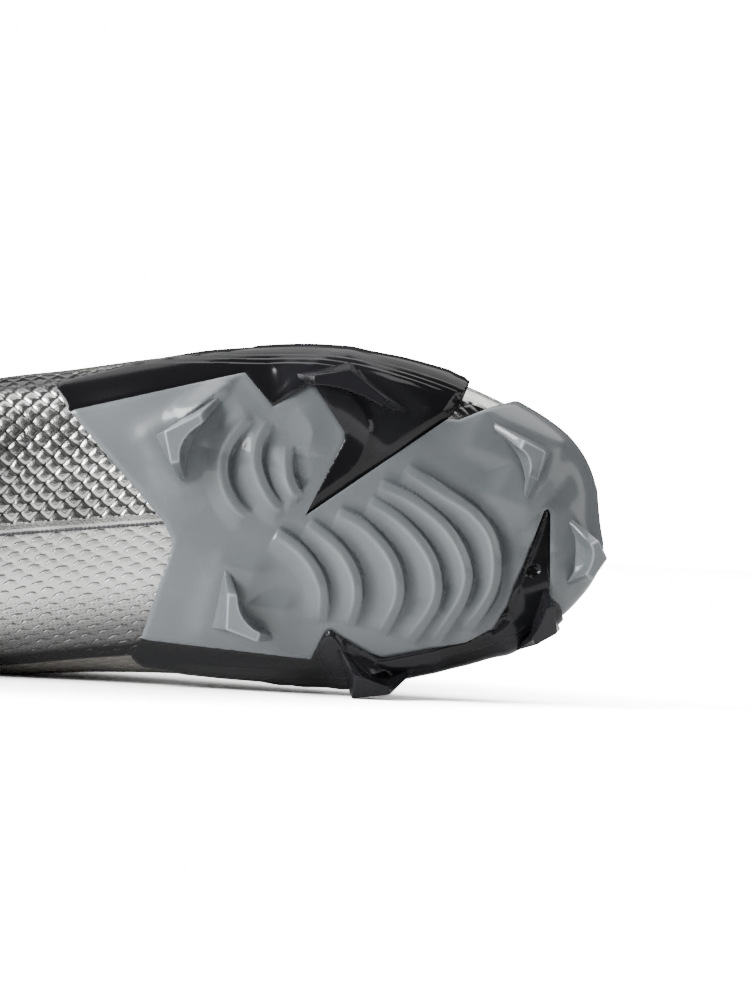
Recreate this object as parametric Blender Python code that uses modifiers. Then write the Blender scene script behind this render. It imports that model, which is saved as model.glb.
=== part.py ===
"""A moulded American football cleat for the right foot, lying empty on its inner side.

Everything is built in the frame of the last first: +X runs from heel to toe, -Y to the outer (lateral) side,
and +Z up from the sole line under the ball. At the end the shoe is laid on its inner side, the way an empty
shoe comes to rest: the sole looks along -Y, the toe points along +X, and the floor is at Z = 0.
"""

import math
from functools import lru_cache

import bmesh
import bpy
import numpy as np
from mathutils import Matrix, Vector

OUTER = -1.0  # the outer side of a right shoe lies towards -Y; the tables count across as + on the outer side

# Sizes of the last, in metres
LENGTH = 0.2885  # heel bulge to toe tip, over the upper
HEEL_WIDTH = 0.0720
WAIST_WIDTH = 0.0924
BALL_WIDTH = 0.1035  # to the middle of the moulded rims
HEEL_LIFT = 0.0030  # sole line at the heel, above the sole line at the ball
ARCH_RISE = 0.0070
TOE_SPRING = 0.0138
TIP_HEIGHT = 0.0210  # where sole line, sides and crown meet at the toe
SIDE_HEIGHT = 0.0250  # widest line of the waist, above the sole line
INSTEP_HEIGHT = 0.0920  # crown at the top of the throat, above the sole line
ANKLE_HEIGHT = 0.1180  # where the heel's sections would close above the collar
TOE_HEIGHT = 0.0360  # crown over the toes, above the sole line
HEEL_CURVE = 0.0090  # how far the back leans in from the heel bulge to the collar

# Openings
COLLAR_BACK = 0.0790  # collar at the back seam, above the sole line of the ball
COLLAR_DIP = 0.0610  # collar under the ankle bone
THROAT_TOP = 0.1050  # from the heel
THROAT_FRONT = 0.1920
THROAT_GAP = 0.0340  # width at its top
THROAT_END_GAP = 0.0190  # width where its round front end starts
THROAT_END_RADIUS = 0.0080

# Walls and clearances
WALL = 0.0018  # the upper
PLATE = 0.0024  # the moulded sole pieces
CLEARANCE = 0.0003
STUD_HEIGHT = 0.0112
HEEL_STUD_HEIGHT = 0.0118
KEPT_CLEAR_REACH = 0.045  # of the layer that keeps the studs' feet out of the upper
KEPT_CLEAR_STEP = 0.00002  # its face lies this far inside the sole pieces' own face
KEPT_CLEAR_DEPTH = 0.0050
RIB_RADIUS = 0.0020
RIB_RISE = 0.0017
INSOLE = 0.0034
TONGUE = 0.0036
TONGUE_CLEARANCE = 0.0022
TONGUE_LAP = 0.0110  # how far the tongue reaches under the eyestay
TONGUE_TOP = 0.0925  # from the heel
TONGUE_FRONT = 0.2000
EYESTAY = 0.0010
EYELET_PAIRS = 6
EYELET_RADIUS = 0.0019
EYELET_INSET = 0.0066  # eyelet centre from the throat's edge
FIRST_EYELET = 0.1800  # from the heel, front pair
LAST_EYELET = 0.1130
LACE_WIDTH = 0.0048
LACE_THICKNESS = 0.0012
LACE_CLEARANCE = 0.0008  # over the eyestays; the strands are straighter than the crown under them
FLOOR_WEIGHTS = {"upper": 620, "insole": 180, "tongue": 300, "laces": 500}  # kg/m3
MOULDED_WEIGHT = 1150  # kg/m3, for the sole pieces and overlays

# The mesh: sections are shared by all the pieces, so that their facets lie parallel
CLOSE_ROWS = 0.03  # rows of the last closer than this share of its length have no section between them
LOWER_STEPS = 7  # sole centre to widest line
UPPER_STEPS = 5  # widest line to the opening's edge
HEEL_RIM_STEP = 5  # the lower step at which the heel pieces end on the side
DENSE = 121  # points on each half of half a section
THROAT_FRONT_STATIONS = (0.0, 0.12, 0.5, 1.0)  # behind the throat's front, in radii of its round end
THROAT_TOP_STATIONS = (0.0, 0.6)  # behind the throat's top, in the same radii
STATION_SPACING = 0.14  # rows; no other section lies closer than this to the throat's own
NORMAL_STEP = 2e-2  # rows, to either side, that a normal is worked out over
NORMAL_REACH = 6e-3  # share of the half girth, to either side
HEEL_FOOT = 0.05  # share of the half girth at which the heel's end turns under
HEEL_FOOT_DIP = -0.35  # how far its normal dips there
SOLE_REACH = 0.985  # share of the way to the widest line that a stud's or rib's foot may reach
FOREFOOT_START = 0.40  # of LENGTH; the forefoot's moulded pieces are cut from a blank that starts here
HEEL_END = 0.37  # of LENGTH; the heel's blank ends here
THROAT_STARTS = 0.6  # of THROAT_TOP; behind this the collar alone trims the upper
LEAN_POWER = 1.5  # how late on its way up the crown leans over
UNDER_HEEL_CURVE = 0.35  # of the heel's curve, below its widest line

# Sections of the last, heel to toe. Lengths are shares of the sizes named above.
# at: place along the shoe. half: half width. centre: off the sole's middle line. under: sole line.
# side: widest line above the sole line. crown: crown above the sole line. sole_power and crown_power:
# squareness of the lower and upper half. lean: how far the crown sits off the centre.
LAST = (
    (0.000, 0.000 * HEEL_WIDTH, 0.000, 2.40 * HEEL_LIFT, 0.80 * SIDE_HEIGHT, ANKLE_HEIGHT, 3.0, 1.8, 0.0),
    (0.005, 0.140 * HEEL_WIDTH, 0.000, 1.70 * HEEL_LIFT, 0.84 * SIDE_HEIGHT, ANKLE_HEIGHT, 3.0, 1.8, 0.0),
    (0.023, 0.288 * HEEL_WIDTH, 0.000, 1.25 * HEEL_LIFT, 0.88 * SIDE_HEIGHT, ANKLE_HEIGHT, 3.0, 1.8, 0.0),
    (0.059, 0.412 * HEEL_WIDTH, 0.000, 1.05 * HEEL_LIFT, 0.92 * SIDE_HEIGHT, ANKLE_HEIGHT, 3.0, 1.8, 0.0),
    (0.125, 0.484 * HEEL_WIDTH, 0.000, 1.00 * HEEL_LIFT, 0.96 * SIDE_HEIGHT, ANKLE_HEIGHT, 3.0, 1.8, 0.0),
    (0.208, 0.504 * HEEL_WIDTH, 0.003, 0.52 * ARCH_RISE, 1.00 * SIDE_HEIGHT, 0.99 * ANKLE_HEIGHT, 2.8, 1.8, 0.0),
    (0.291, 0.430 * WAIST_WIDTH, 0.012, 0.77 * ARCH_RISE, 1.04 * SIDE_HEIGHT, 0.95 * ANKLE_HEIGHT, 2.7, 1.9, -0.050),
    (0.374, 0.486 * WAIST_WIDTH, 0.018, 1.00 * ARCH_RISE, 1.08 * SIDE_HEIGHT, 1.00 * INSTEP_HEIGHT, 2.6, 2.2, -0.085),
    (0.464, 0.500 * WAIST_WIDTH, 0.018, 0.86 * ARCH_RISE, 1.00 * SIDE_HEIGHT, 0.88 * INSTEP_HEIGHT, 2.7, 2.1, -0.085),
    (0.555, 0.464 * BALL_WIDTH, 0.014, 0.37 * ARCH_RISE, 0.88 * SIDE_HEIGHT, 0.783 * INSTEP_HEIGHT, 2.9, 2.0, -0.070),
    (0.645, 0.481 * BALL_WIDTH, 0.000, 0.06 * ARCH_RISE, 0.70 * SIDE_HEIGHT, 0.685 * INSTEP_HEIGHT, 3.0, 2.0, -0.050),
    (0.728, 0.484 * BALL_WIDTH, -0.014, 0.00 * TOE_SPRING, 0.60 * SIDE_HEIGHT, 0.598 * INSTEP_HEIGHT, 3.0, 2.1, -0.025),
    (0.804, 0.450 * BALL_WIDTH, -0.031, 0.07 * TOE_SPRING, 0.55 * SIDE_HEIGHT, 1.32 * TOE_HEIGHT, 3.0, 2.2, 0.0),
    (0.873, 0.394 * BALL_WIDTH, -0.059, 0.28 * TOE_SPRING, 0.52 * SIDE_HEIGHT, 1.125 * TOE_HEIGHT, 2.9, 2.2, 0.0),
    (0.929, 0.318 * BALL_WIDTH, -0.072, 0.54 * TOE_SPRING, 0.48 * SIDE_HEIGHT, 0.945 * TOE_HEIGHT, 2.8, 2.2, 0.0),
    (0.967, 0.238 * BALL_WIDTH, -0.075, 0.78 * TOE_SPRING, 0.40 * SIDE_HEIGHT, 0.750 * TOE_HEIGHT, 2.6, 2.1, 0.0),
    (0.991, 0.146 * BALL_WIDTH, -0.079, 1.00 * TOE_SPRING, 0.28 * SIDE_HEIGHT, 0.490 * TOE_HEIGHT, 2.3, 2.0, 0.0),
    (1.000, 0.000 * BALL_WIDTH, -0.080, TIP_HEIGHT, 0.00, 0.00, 2.0, 2.0, 0.0),
)

# The collar's edge: share of the way from the heel to the throat's top, and height above the ball's sole line
COLLAR = (
    (-0.10, 0.99 * COLLAR_BACK),
    (0.00, 1.00 * COLLAR_BACK),
    (0.14, 0.97 * COLLAR_BACK),
    (0.34, 1.10 * COLLAR_DIP),
    (0.57, 1.00 * COLLAR_DIP),
    (0.77, 1.09 * COLLAR_DIP),
    (0.92, 1.37 * COLLAR_DIP),
    (1.04, 1.80 * COLLAR_DIP),
    (1.20, 2.60 * COLLAR_DIP),
)

# Outlines on the sole, as shares of LENGTH from the heel and of BALL_WIDTH off the middle line
FOREFOOT_EDGE = (
    (0.461, 0.341),
    (0.551, 0.000),
    (0.559, -0.057),
    (0.556, -0.091),
    (0.518, -0.339),
    (0.530, -0.380),
    (0.600, -0.430),
    (0.690, -0.475),
    (0.770, -0.480),
    (0.860, -0.460),
    (0.930, -0.440),
    (0.957, -0.640),
    (1.100, -0.640),
    (1.100, 0.231),
    (0.937, 0.300),
    (0.925, 0.275),
    (0.902, 0.262),
    (0.888, 0.250),
    (0.866, 0.231),
    (0.850, 0.240),
    (0.830, 0.330),
    (0.760, 0.400),
    (0.700, 0.460),
    (0.620, 0.460),
    (0.550, 0.420),
    (0.480, 0.385),
    (0.467, 0.365),
)
LATERAL_FRAME = (
    (0.450, 0.425),
    (0.449, 0.404),
    (0.461, 0.341),
    (0.647, 0.414),
    (0.653, 0.392),
    (0.674, 0.309),
    (0.712, 0.365),
    (0.720, 0.358),
    (0.747, 0.219),
    (0.746, 0.196),
    (0.700, -0.013),
    (0.857, 0.240),
    (0.871, 0.286),
    (0.881, 0.340),
    (0.872, 0.440),
    (0.800, 0.640),
    (0.720, 0.640),
    (0.690, 0.540),
    (0.650, 0.499),
    (0.600, 0.487),
    (0.550, 0.474),
    (0.520, 0.462),
    (0.480, 0.444),
    (0.456, 0.432),
)
MEDIAL_FRAME = (
    (0.518, -0.339),
    (0.694, -0.433),
    (0.712, -0.358),
    (0.717, -0.351),
    (0.723, -0.366),
    (0.763, -0.444),
    (0.769, -0.446),
    (0.857, -0.417),
    (0.885, -0.385),
    (0.903, -0.319),
    (0.948, -0.052),
    (0.952, -0.047),
    (0.954, -0.062),
    (0.947, -0.305),
    (0.958, -0.335),
    (0.963, -0.400),
    (0.963, -0.640),
    (0.710, -0.640),
    (0.680, -0.520),
    (0.640, -0.489),
    (0.600, -0.472),
    (0.560, -0.452),
    (0.516, -0.424),
    (0.505, -0.385),
)
HEEL_EDGE = (
    (-0.10, 0.50),
    (0.322, 0.50),
    (0.318, 0.300),
    (0.270, 0.060),
    (0.270, -0.040),
    (0.300, -0.280),
    (0.304, -0.50),
    (-0.10, -0.50),
)
HEEL_FRAME = (
    (-0.10, 0.50),
    (0.322, 0.50),
    (0.318, 0.300),
    (0.300, 0.212),
    (0.262, 0.262),
    (0.205, 0.215),
    (0.120, 0.245),
    (0.075, 0.190),
    (0.040, 0.085),
    (0.040, -0.085),
    (0.075, -0.190),
    (0.120, -0.245),
    (0.195, -0.215),
    (0.250, -0.255),
    (0.286, -0.205),
    (0.300, -0.280),
    (0.304, -0.50),
    (-0.10, -0.50),
)

# Studs are chevrons: two arms from one corner. Angles are in degrees, from the toe towards the outer side.
# The tip row and the base row of a stud have the same columns: the corner's place along and across, as in the
# outlines, then angle and length of arm a, angle and length of arm b, and the arms' width, as shares of BALL_WIDTH.
STUDS = {
    "rear_lateral": (
        (0.560, 0.258, 22, 0.114, -83, 0.095, 0.028),
        (0.545, 0.245, 29, 0.256, -61, 0.172, 0.087),
    ),
    "rear_medial": (
        (0.609, -0.326, 83, 0.101, -26, 0.097, 0.028),
        (0.586, -0.318, 69, 0.193, -15, 0.213, 0.085),
    ),
    "toe_lateral": (
        (0.954, 0.119, 149, 0.071, 249, 0.085, 0.028),
        (0.965, 0.128, 152, 0.227, 238, 0.193, 0.077),
    ),
    "toe_tip": (
        (1.010, -0.203, 112, 0.058, 231, 0.075, 0.026),
        (1.000, -0.192, 123, 0.155, 219, 0.145, 0.082),
    ),
    "outer_ball": (
        (0.757, 0.396, -42, 0.137, 184, 0.108, 0.028),
        (0.757, 0.432, -44, 0.242, 190, 0.174, 0.116),
    ),
    "inner_toe": (
        (0.952, -0.409, 92, 0.077, 205, 0.070, 0.026),
        (0.957, -0.404, 104, 0.145, 200, 0.159, 0.070),
    ),
    "inner_ball": (
        (0.733, -0.553, 76, 0.068, 1, 0.112, 0.026),
        (0.728, -0.500, 108, 0.135, 10, 0.251, 0.068),
    ),
    "heel_outer_front": (
        (0.268, 0.300, 160, 0.095, -88, 0.089, 0.028),
        (0.275, 0.315, 168, 0.159, -96, 0.121, 0.071),
    ),
    "heel_inner_front": (
        (0.258, -0.295, 200, 0.095, 88, 0.089, 0.028),
        (0.265, -0.310, 192, 0.159, 96, 0.121, 0.071),
    ),
    "heel_outer_back": (
        (0.100, 0.245, 20, 0.095, -92, 0.089, 0.028),
        (0.092, 0.262, 12, 0.159, -84, 0.121, 0.071),
    ),
    "heel_inner_back": (
        (0.100, -0.245, -20, 0.095, 92, 0.089, 0.028),
        (0.092, -0.262, -12, 0.159, 84, 0.121, 0.071),
    ),
}
FOREFOOT_STUDS = ("rear_lateral", "rear_medial", "toe_lateral", "toe_tip")
LATERAL_STUDS = ("outer_ball",)
MEDIAL_STUDS = ("inner_toe", "inner_ball")
HEEL_STUDS = ("heel_outer_front", "heel_inner_front", "heel_outer_back", "heel_inner_back")

# Ribs under the ball: start, middle and end on the sole's plan, in the outlines' shares
RIBS = (
    ((0.645, 0.292), (0.616, 0.135), (0.632, 0.001)),
    ((0.662, 0.265), (0.651, 0.128), (0.679, 0.012)),
    ((0.685, 0.237), (0.677, 0.120), (0.685, 0.034)),
    ((0.666, -0.067), (0.703, -0.182), (0.704, -0.313)),
    ((0.701, -0.057), (0.740, -0.185), (0.736, -0.302)),
    ((0.740, -0.021), (0.785, -0.185), (0.768, -0.361)),
    ((0.777, 0.044), (0.826, -0.145), (0.801, -0.382)),
    ((0.796, 0.113), (0.856, -0.120), (0.830, -0.388)),
    ((0.812, 0.118), (0.885, -0.097), (0.867, -0.347)),
)
RIB_POINTS = 6
RIB_END = 0.45  # thickness of a rib's ends, as a share of its middle's
INSOLE_ENDS = (0.3, 0.4)  # rows kept clear at the heel and at the toe
INSOLE_STEPS = 4
TONGUE_STEPS = 4
TONGUE_END_SPACING = 0.15  # rows
PUNCH_LENGTH = 0.010
PUNCH_REACH = 0.006
PUNCH_SIDES = 8
LACE_SEGMENTS = 5

# Openings left under the plates when the upper is lasted: first and last place along, and lower steps kept out
LASTING_OPENINGS = ((0.075, 0.250, 2.9), (0.600, 0.900, 3.9))

# Finishes: colour, roughness, metallic
FINISHES = {
    "upper": ((0.62, 0.62, 0.60), 0.32, 0.9),
    "forefoot_plate": ((0.25, 0.28, 0.30), 0.30, 0.0),
    "lateral_frame": ((0.012, 0.012, 0.014), 0.12, 0.0),
    "medial_frame": ((0.012, 0.012, 0.014), 0.12, 0.0),
    "heel_plate": ((0.25, 0.28, 0.30), 0.30, 0.0),
    "heel_frame": ((0.012, 0.012, 0.014), 0.12, 0.0),
    "insole": ((0.03, 0.03, 0.032), 0.85, 0.0),
    "tongue": ((0.05, 0.05, 0.055), 0.80, 0.0),
    "eyestay_lateral": ((0.02, 0.02, 0.022), 0.45, 0.0),
    "eyestay_medial": ((0.02, 0.02, 0.022), 0.45, 0.0),
    "laces": ((0.03, 0.03, 0.032), 0.80, 0.0),
}


def catmull(rows, place):
    """The smooth value at a place counted in rows; the first and last of rows only shape the ends."""
    first = min(int(place), len(rows) - 4)
    f = place - first
    a, b, c, d = rows[first : first + 4]
    return 0.5 * (2 * b + (c - a) * f + (2 * a - 5 * b + 4 * c - d) * f**2 + (3 * b - a - 3 * c + d) * f**3)


def last_rows():
    """The section table in metres, with level, drop and rise in place of under, side and crown, and ghost ends.

    A ghost row mirrors the row next to the end, so that the heel and the toe close round.
    """
    rows = []
    for at, half, centre, under, side, crown, sole_power, crown_power, lean in LAST:
        rise = crown - side
        level = under + side
        rows.append(
            (at * LENGTH, half, centre * BALL_WIDTH, level, side, rise, sole_power, crown_power, lean * BALL_WIDTH)
        )
    rows = np.array(rows)
    before, after = rows[1].copy(), rows[-2].copy()
    before[1] = -before[1]
    after[[1, 4, 5]] = -after[[1, 4, 5]]
    return np.vstack([before, rows, after])


ROWS = last_rows()
LAST_PLACE = len(LAST) - 1
PLACES = np.linspace(0, LAST_PLACE, 40 * LAST_PLACE + 1)
ALONG = np.array([catmull(ROWS[:, 0], place) for place in PLACES])


def place_at(along):
    """The place, counted in rows, of a section a distance from the heel."""
    return float(np.interp(along, ALONG, PLACES))


@lru_cache(maxsize=None)
def section(place):
    """One side of a section: shares of its half girth, distances off the centre and heights, sole to crown."""
    row = catmull(ROWS, place)
    half, level, drop, rise = max(row[1], 0.0), row[3], max(row[4], 0.0), max(row[5], 0.0)
    turn = np.linspace(0, math.pi / 2, DENSE)
    low, high = 2 / row[6], 2 / row[7]
    off = np.concatenate([half * np.sin(turn) ** low, half * np.cos(turn[1:]) ** high])
    height = np.concatenate([level - drop * np.cos(turn) ** low, level + rise * np.sin(turn[1:]) ** high])
    girth = np.concatenate([[0.0], np.cumsum(np.hypot(np.diff(off), np.diff(height)))])
    shares = girth / girth[-1] if girth[-1] > 0 else np.linspace(0, 1, len(girth))
    return row, shares, off, height, girth[-1]


def on_section(place, share):
    """The point of the upper's outer face at a place and a signed share of the half girth, + on the outer side."""
    row, shares, off, height, _ = section(place)
    side = 1.0 if share >= 0 else -1.0
    y = float(np.interp(abs(share), shares, off))
    z = float(np.interp(abs(share), shares, height))
    climb = max(z - row[3], 0.0) / max(row[5], 1e-6)
    behind = (z - row[3]) / (COLLAR_BACK - row[3])
    fade = max(0.0, 1.0 - row[0] / HEEL_WIDTH)
    curve = HEEL_CURVE if behind > 0 else UNDER_HEEL_CURVE * HEEL_CURVE
    lean_in = curve * behind**2 * fade**2 * (3 - 2 * fade)
    return Vector((row[0] + lean_in, OUTER * (row[2] + side * y + row[8] * climb**LEAN_POWER), z))


def surface(place, share, out=0.0):
    """A point moved out from the upper's outer face along its normal; in is negative."""
    point = on_section(place, share)
    if out == 0.0:
        return point
    next_place, place_before = min(place + NORMAL_STEP, LAST_PLACE), max(place - NORMAL_STEP, 0.0)
    next_share, share_before = min(share + NORMAL_REACH, 1.0), max(share - NORMAL_REACH, -1.0)
    ahead = on_section(next_place, share) - on_section(place_before, share)
    across = on_section(place, next_share) - on_section(place, share_before)
    normal = ahead.cross(across)
    if place >= LAST_PLACE - 1e-6:
        normal = Vector((1.0, 0.0, 0.0))
    elif place <= 1e-6:
        normal = Vector((-1.0, 0.0, HEEL_FOOT_DIP if abs(share) < HEEL_FOOT else 0.0))
    return point + normal.normalized() * out


def smooth_curve(points, per=12):
    """A smooth line through points, as an array; the ends are doubled to shape them."""
    rows = np.array([points[0], *points, points[-1]], float)
    count = (len(points) - 1) * per
    return np.array([catmull(rows, k / per) for k in range(count + 1)])


COLLAR_LINE = smooth_curve([(at * THROAT_TOP, height) for at, height in COLLAR])


def throat_half_gap(along):
    """Half the throat's width, with a round front end; negative past it and behind the collar's rise."""
    ahead = THROAT_FRONT - along
    if ahead <= 0 or along < THROAT_STARTS * THROAT_TOP:
        return -1.0
    wide = THROAT_END_GAP + (THROAT_GAP - THROAT_END_GAP) * min(1.0, ahead / (THROAT_FRONT - THROAT_TOP))
    end = max(0.0, 1.0 - ahead / THROAT_END_RADIUS)
    return 0.5 * wide * math.sqrt(max(0.0, 1.0 - end**2))


@lru_cache(maxsize=None)
def edge_share(place):
    """The share of the half girth at which the upper ends, at the collar or the throat; 1 where it is closed."""
    row, shares, off, height, _ = section(place)
    over_collar = height - np.interp(row[0], COLLAR_LINE[:, 0], COLLAR_LINE[:, 1])
    past = np.maximum(over_collar, throat_half_gap(row[0]) - off)
    past[:DENSE] = -1.0
    outside = np.nonzero(past > 0)[0]
    if len(outside) == 0:
        return 1.0
    k = outside[0]
    return float(np.interp(0.0, past[k - 1 : k + 1], shares[k - 1 : k + 1]))


def widest_share(place):
    return float(section(place)[1][DENSE - 1])


def share_on(place, step):
    """The share at a signed step: LOWER_STEPS reach the widest line and UPPER_STEPS more the opening's edge."""
    low = widest_share(place)
    count = abs(step)
    if count <= LOWER_STEPS:
        share = low * count / LOWER_STEPS
    else:
        share = low + (edge_share(place) - low) * (count - LOWER_STEPS) / UPPER_STEPS
    return math.copysign(share, step)


def stations():
    """Places of the sections: each row, the middle between rows that lie far apart, and the throat's ends."""
    even = list(range(LAST_PLACE + 1))
    for row in range(LAST_PLACE):
        if LAST[row + 1][0] - LAST[row][0] > CLOSE_ROWS:
            even.append(row + 0.5)
    throat = [place_at(THROAT_FRONT - behind * THROAT_END_RADIUS) for behind in THROAT_FRONT_STATIONS]
    throat += [place_at(THROAT_TOP - behind * THROAT_END_RADIUS) for behind in THROAT_TOP_STATIONS]
    kept = [p for p in even if min(abs(p - q) for q in throat) > STATION_SPACING]
    return sorted(kept + throat)


STATIONS = stations()


def grid_piece(name, places, steps, share, out, thickness, dropped=None):
    """A wall on the last: a grid over places and steps, moved out, with a copy of it thickness further in.

    share(place, step) says where a step lies; dropped(along, step) says which faces are left open.
    """
    rows, columns = len(places) - 1, len(steps) - 1
    mesh = bmesh.new()
    bmesh.ops.create_grid(mesh, x_segments=rows, y_segments=columns, size=0.5)
    place_of = mesh.verts.layers.float.new("place")
    step_of = mesh.verts.layers.float.new("step")
    for vert in mesh.verts:
        vert[place_of] = places[round((vert.co.x + 0.5) * rows)]
        vert[step_of] = steps[round((vert.co.y + 0.5) * columns)]
    if dropped:
        gone = []
        for face in mesh.faces:
            along = float(np.interp(np.mean([v[place_of] for v in face.verts]), PLACES, ALONG))
            if dropped(along, float(np.mean([v[step_of] for v in face.verts]))):
                gone.append(face)
        bmesh.ops.delete(mesh, geom=gone, context="FACES")
    for vert in mesh.verts:
        vert.co = surface(vert[place_of], share(vert[place_of], vert[step_of]), out)
    bmesh.ops.remove_doubles(mesh, verts=mesh.verts, dist=1e-5)
    bmesh.ops.triangulate(mesh, faces=mesh.faces, quad_method="FIXED")
    made = bmesh.ops.extrude_face_region(mesh, geom=mesh.faces[:])
    for vert in made["geom"]:
        if isinstance(vert, bmesh.types.BMVert):
            vert.co = surface(vert[place_of], share(vert[place_of], vert[step_of]), out - thickness)
    bmesh.ops.triangulate(mesh, faces=mesh.faces)
    bmesh.ops.recalc_face_normals(mesh, faces=mesh.faces)
    data = bpy.data.meshes.new(name)
    mesh.to_mesh(data)
    mesh.free()
    piece = bpy.data.objects.new(name, data)
    bpy.context.scene.collection.objects.link(piece)
    return piece


def baked(piece):
    """The piece with its modifiers applied, as the viewport evaluates it."""
    bpy.context.view_layer.update()
    graph = bpy.context.evaluated_depsgraph_get()
    data = bpy.data.meshes.new_from_object(piece.evaluated_get(graph))
    name = piece.name
    old = piece.data
    piece.modifiers.clear()
    piece.data = data
    data.name = name
    if old.users == 0:
        bpy.data.meshes.remove(old)
    return piece


def combined(piece, others, operation):
    """The piece after one Boolean with each of the others, which are removed."""
    for other in others:
        modifier = piece.modifiers.new("combine", "BOOLEAN")
        modifier.operation = operation
        modifier.object = other
        modifier.solver = "EXACT"
        baked(piece)
    for other in others:
        bpy.data.objects.remove(other)
    return piece


def on_plan(along, across):
    """A point of an outline, from shares to metres."""
    return along * LENGTH, OUTER * across * BALL_WIDTH


def grown(outline, by):
    """The outline with each side moved out by a distance; its points run either way round."""
    points = [Vector(on_plan(*point)) for point in outline]
    turning = sum(a.x * b.y - b.x * a.y for a, b in zip(points, points[1:] + points[:1]))
    side = 1.0 if turning > 0 else -1.0
    moved = []
    for k, point in enumerate(points):
        before = (point - points[k - 1]).normalized()
        after = (points[(k + 1) % len(points)] - point).normalized()
        out_before = Vector((before.y, -before.x)) * side
        out_after = Vector((after.y, -after.x)) * side
        bisector = (out_before + out_after).normalized()
        moved.append(point + bisector * by / max(bisector.dot(out_after), 0.2))
    return moved


def prism(name, points):
    """A tall upright block with this plan, to cut the sole pieces with."""
    curve = bpy.data.curves.new(name, "CURVE")
    curve.dimensions = "2D"
    curve.fill_mode = "BOTH"
    curve.extrude = 0.5 * INSTEP_HEIGHT
    line = curve.splines.new("POLY")
    line.points.add(len(points) - 1)
    for spot, point in zip(line.points, points):
        spot.co = (point[0], point[1], 0.0, 1.0)
    line.use_cyclic_u = True
    return mesh_of_curve(name, curve)


def mesh_of_curve(name, curve):
    """A curve object turned into a closed mesh object."""
    source = bpy.data.objects.new(name, curve)
    bpy.context.scene.collection.objects.link(source)
    bpy.context.view_layer.update()
    graph = bpy.context.evaluated_depsgraph_get()
    data = bpy.data.meshes.new_from_object(source.evaluated_get(graph))
    bpy.data.objects.remove(source)
    welded = bmesh.new()
    welded.from_mesh(data)
    bmesh.ops.remove_doubles(welded, verts=welded.verts, dist=1e-6)
    bmesh.ops.recalc_face_normals(welded, faces=welded.faces)
    welded.to_mesh(data)
    welded.free()
    piece = bpy.data.objects.new(name, data)
    bpy.context.scene.collection.objects.link(piece)
    return piece


def under_sole(x, y, out):
    """The point under the sole below a plan point, moved out from the upper by out."""
    place = place_at(min(max(x, ALONG[1]), ALONG[-2]))
    row, shares, off, _, _ = section(place)
    across = OUTER * y - row[2]
    share = float(np.interp(abs(across), off[:DENSE], shares[:DENSE]))
    return surface(place, math.copysign(min(share, SOLE_REACH * shares[DENSE - 1]), across), out)


def chevron(along, across, angle_a, length_a, angle_b, length_b, width):
    """The six plan points of a chevron: corner, arm a outside and inside, inner corner, arm b inside and outside."""
    length_a, length_b, width = length_a * BALL_WIDTH, length_b * BALL_WIDTH, width * BALL_WIDTH
    corner = Vector(on_plan(along, across))
    a = Vector((math.cos(math.radians(angle_a)), OUTER * math.sin(math.radians(angle_a))))
    b = Vector((math.cos(math.radians(angle_b)), OUTER * math.sin(math.radians(angle_b))))
    opening = math.acos(max(-1.0, min(1.0, a.dot(b))))
    inner = corner + (a + b).normalized() * width / math.sin(opening / 2)
    inside_a = (b - a * a.dot(b)).normalized() * width
    inside_b = (a - b * a.dot(b)).normalized() * width
    end_a, end_b = corner + a * length_a, corner + b * length_b
    return [corner, end_a, end_a + inside_a, inner, end_b + inside_b, end_b]


def stud(name, height):
    """A chevron blade from the middle of the plate's thickness to a flat tip square to the sole there."""
    tip_row, base_row = STUDS[name]
    tip, base = chevron(*tip_row), chevron(*base_row)
    middle = sum(base, Vector((0.0, 0.0))) / len(base)
    foot = under_sole(*middle, CLEARANCE + PLATE)
    axis = (under_sole(*middle, CLEARANCE + PLATE + height) - foot).normalized()
    top = foot + axis * height
    mesh = bmesh.new()
    low = [mesh.verts.new(under_sole(point.x, point.y, CLEARANCE + 0.5 * PLATE)) for point in base]
    high = []
    for point in tip:
        drop = (axis.x * (point.x - top.x) + axis.y * (point.y - top.y)) / axis.z
        high.append(mesh.verts.new((point.x, point.y, top.z - drop)))
    mesh.faces.new(high)
    mesh.faces.new(low)
    for k in range(len(low)):
        after = (k + 1) % len(low)
        mesh.faces.new((low[k], low[after], high[after], high[k]))
    bmesh.ops.triangulate(mesh, faces=mesh.faces)
    bmesh.ops.recalc_face_normals(mesh, faces=mesh.faces)
    data = bpy.data.meshes.new("stud_" + name)
    mesh.to_mesh(data)
    mesh.free()
    piece = bpy.data.objects.new("stud_" + name, data)
    bpy.context.scene.collection.objects.link(piece)
    return combined(piece, [kept_clear(f"under_{name}", middle.x)], "DIFFERENCE")


def kept_clear(name, along):
    """A layer just inside the sole pieces, round a place along the sole, that nothing of a stud may enter."""
    places = [place for place in STATIONS if abs(np.interp(place, PLACES, ALONG) - along) < KEPT_CLEAR_REACH]
    steps = list(range(-LOWER_STEPS - 1, LOWER_STEPS + 2))
    return grid_piece(name, places, steps, share_on, CLEARANCE - KEPT_CLEAR_STEP, KEPT_CLEAR_DEPTH)


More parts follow.
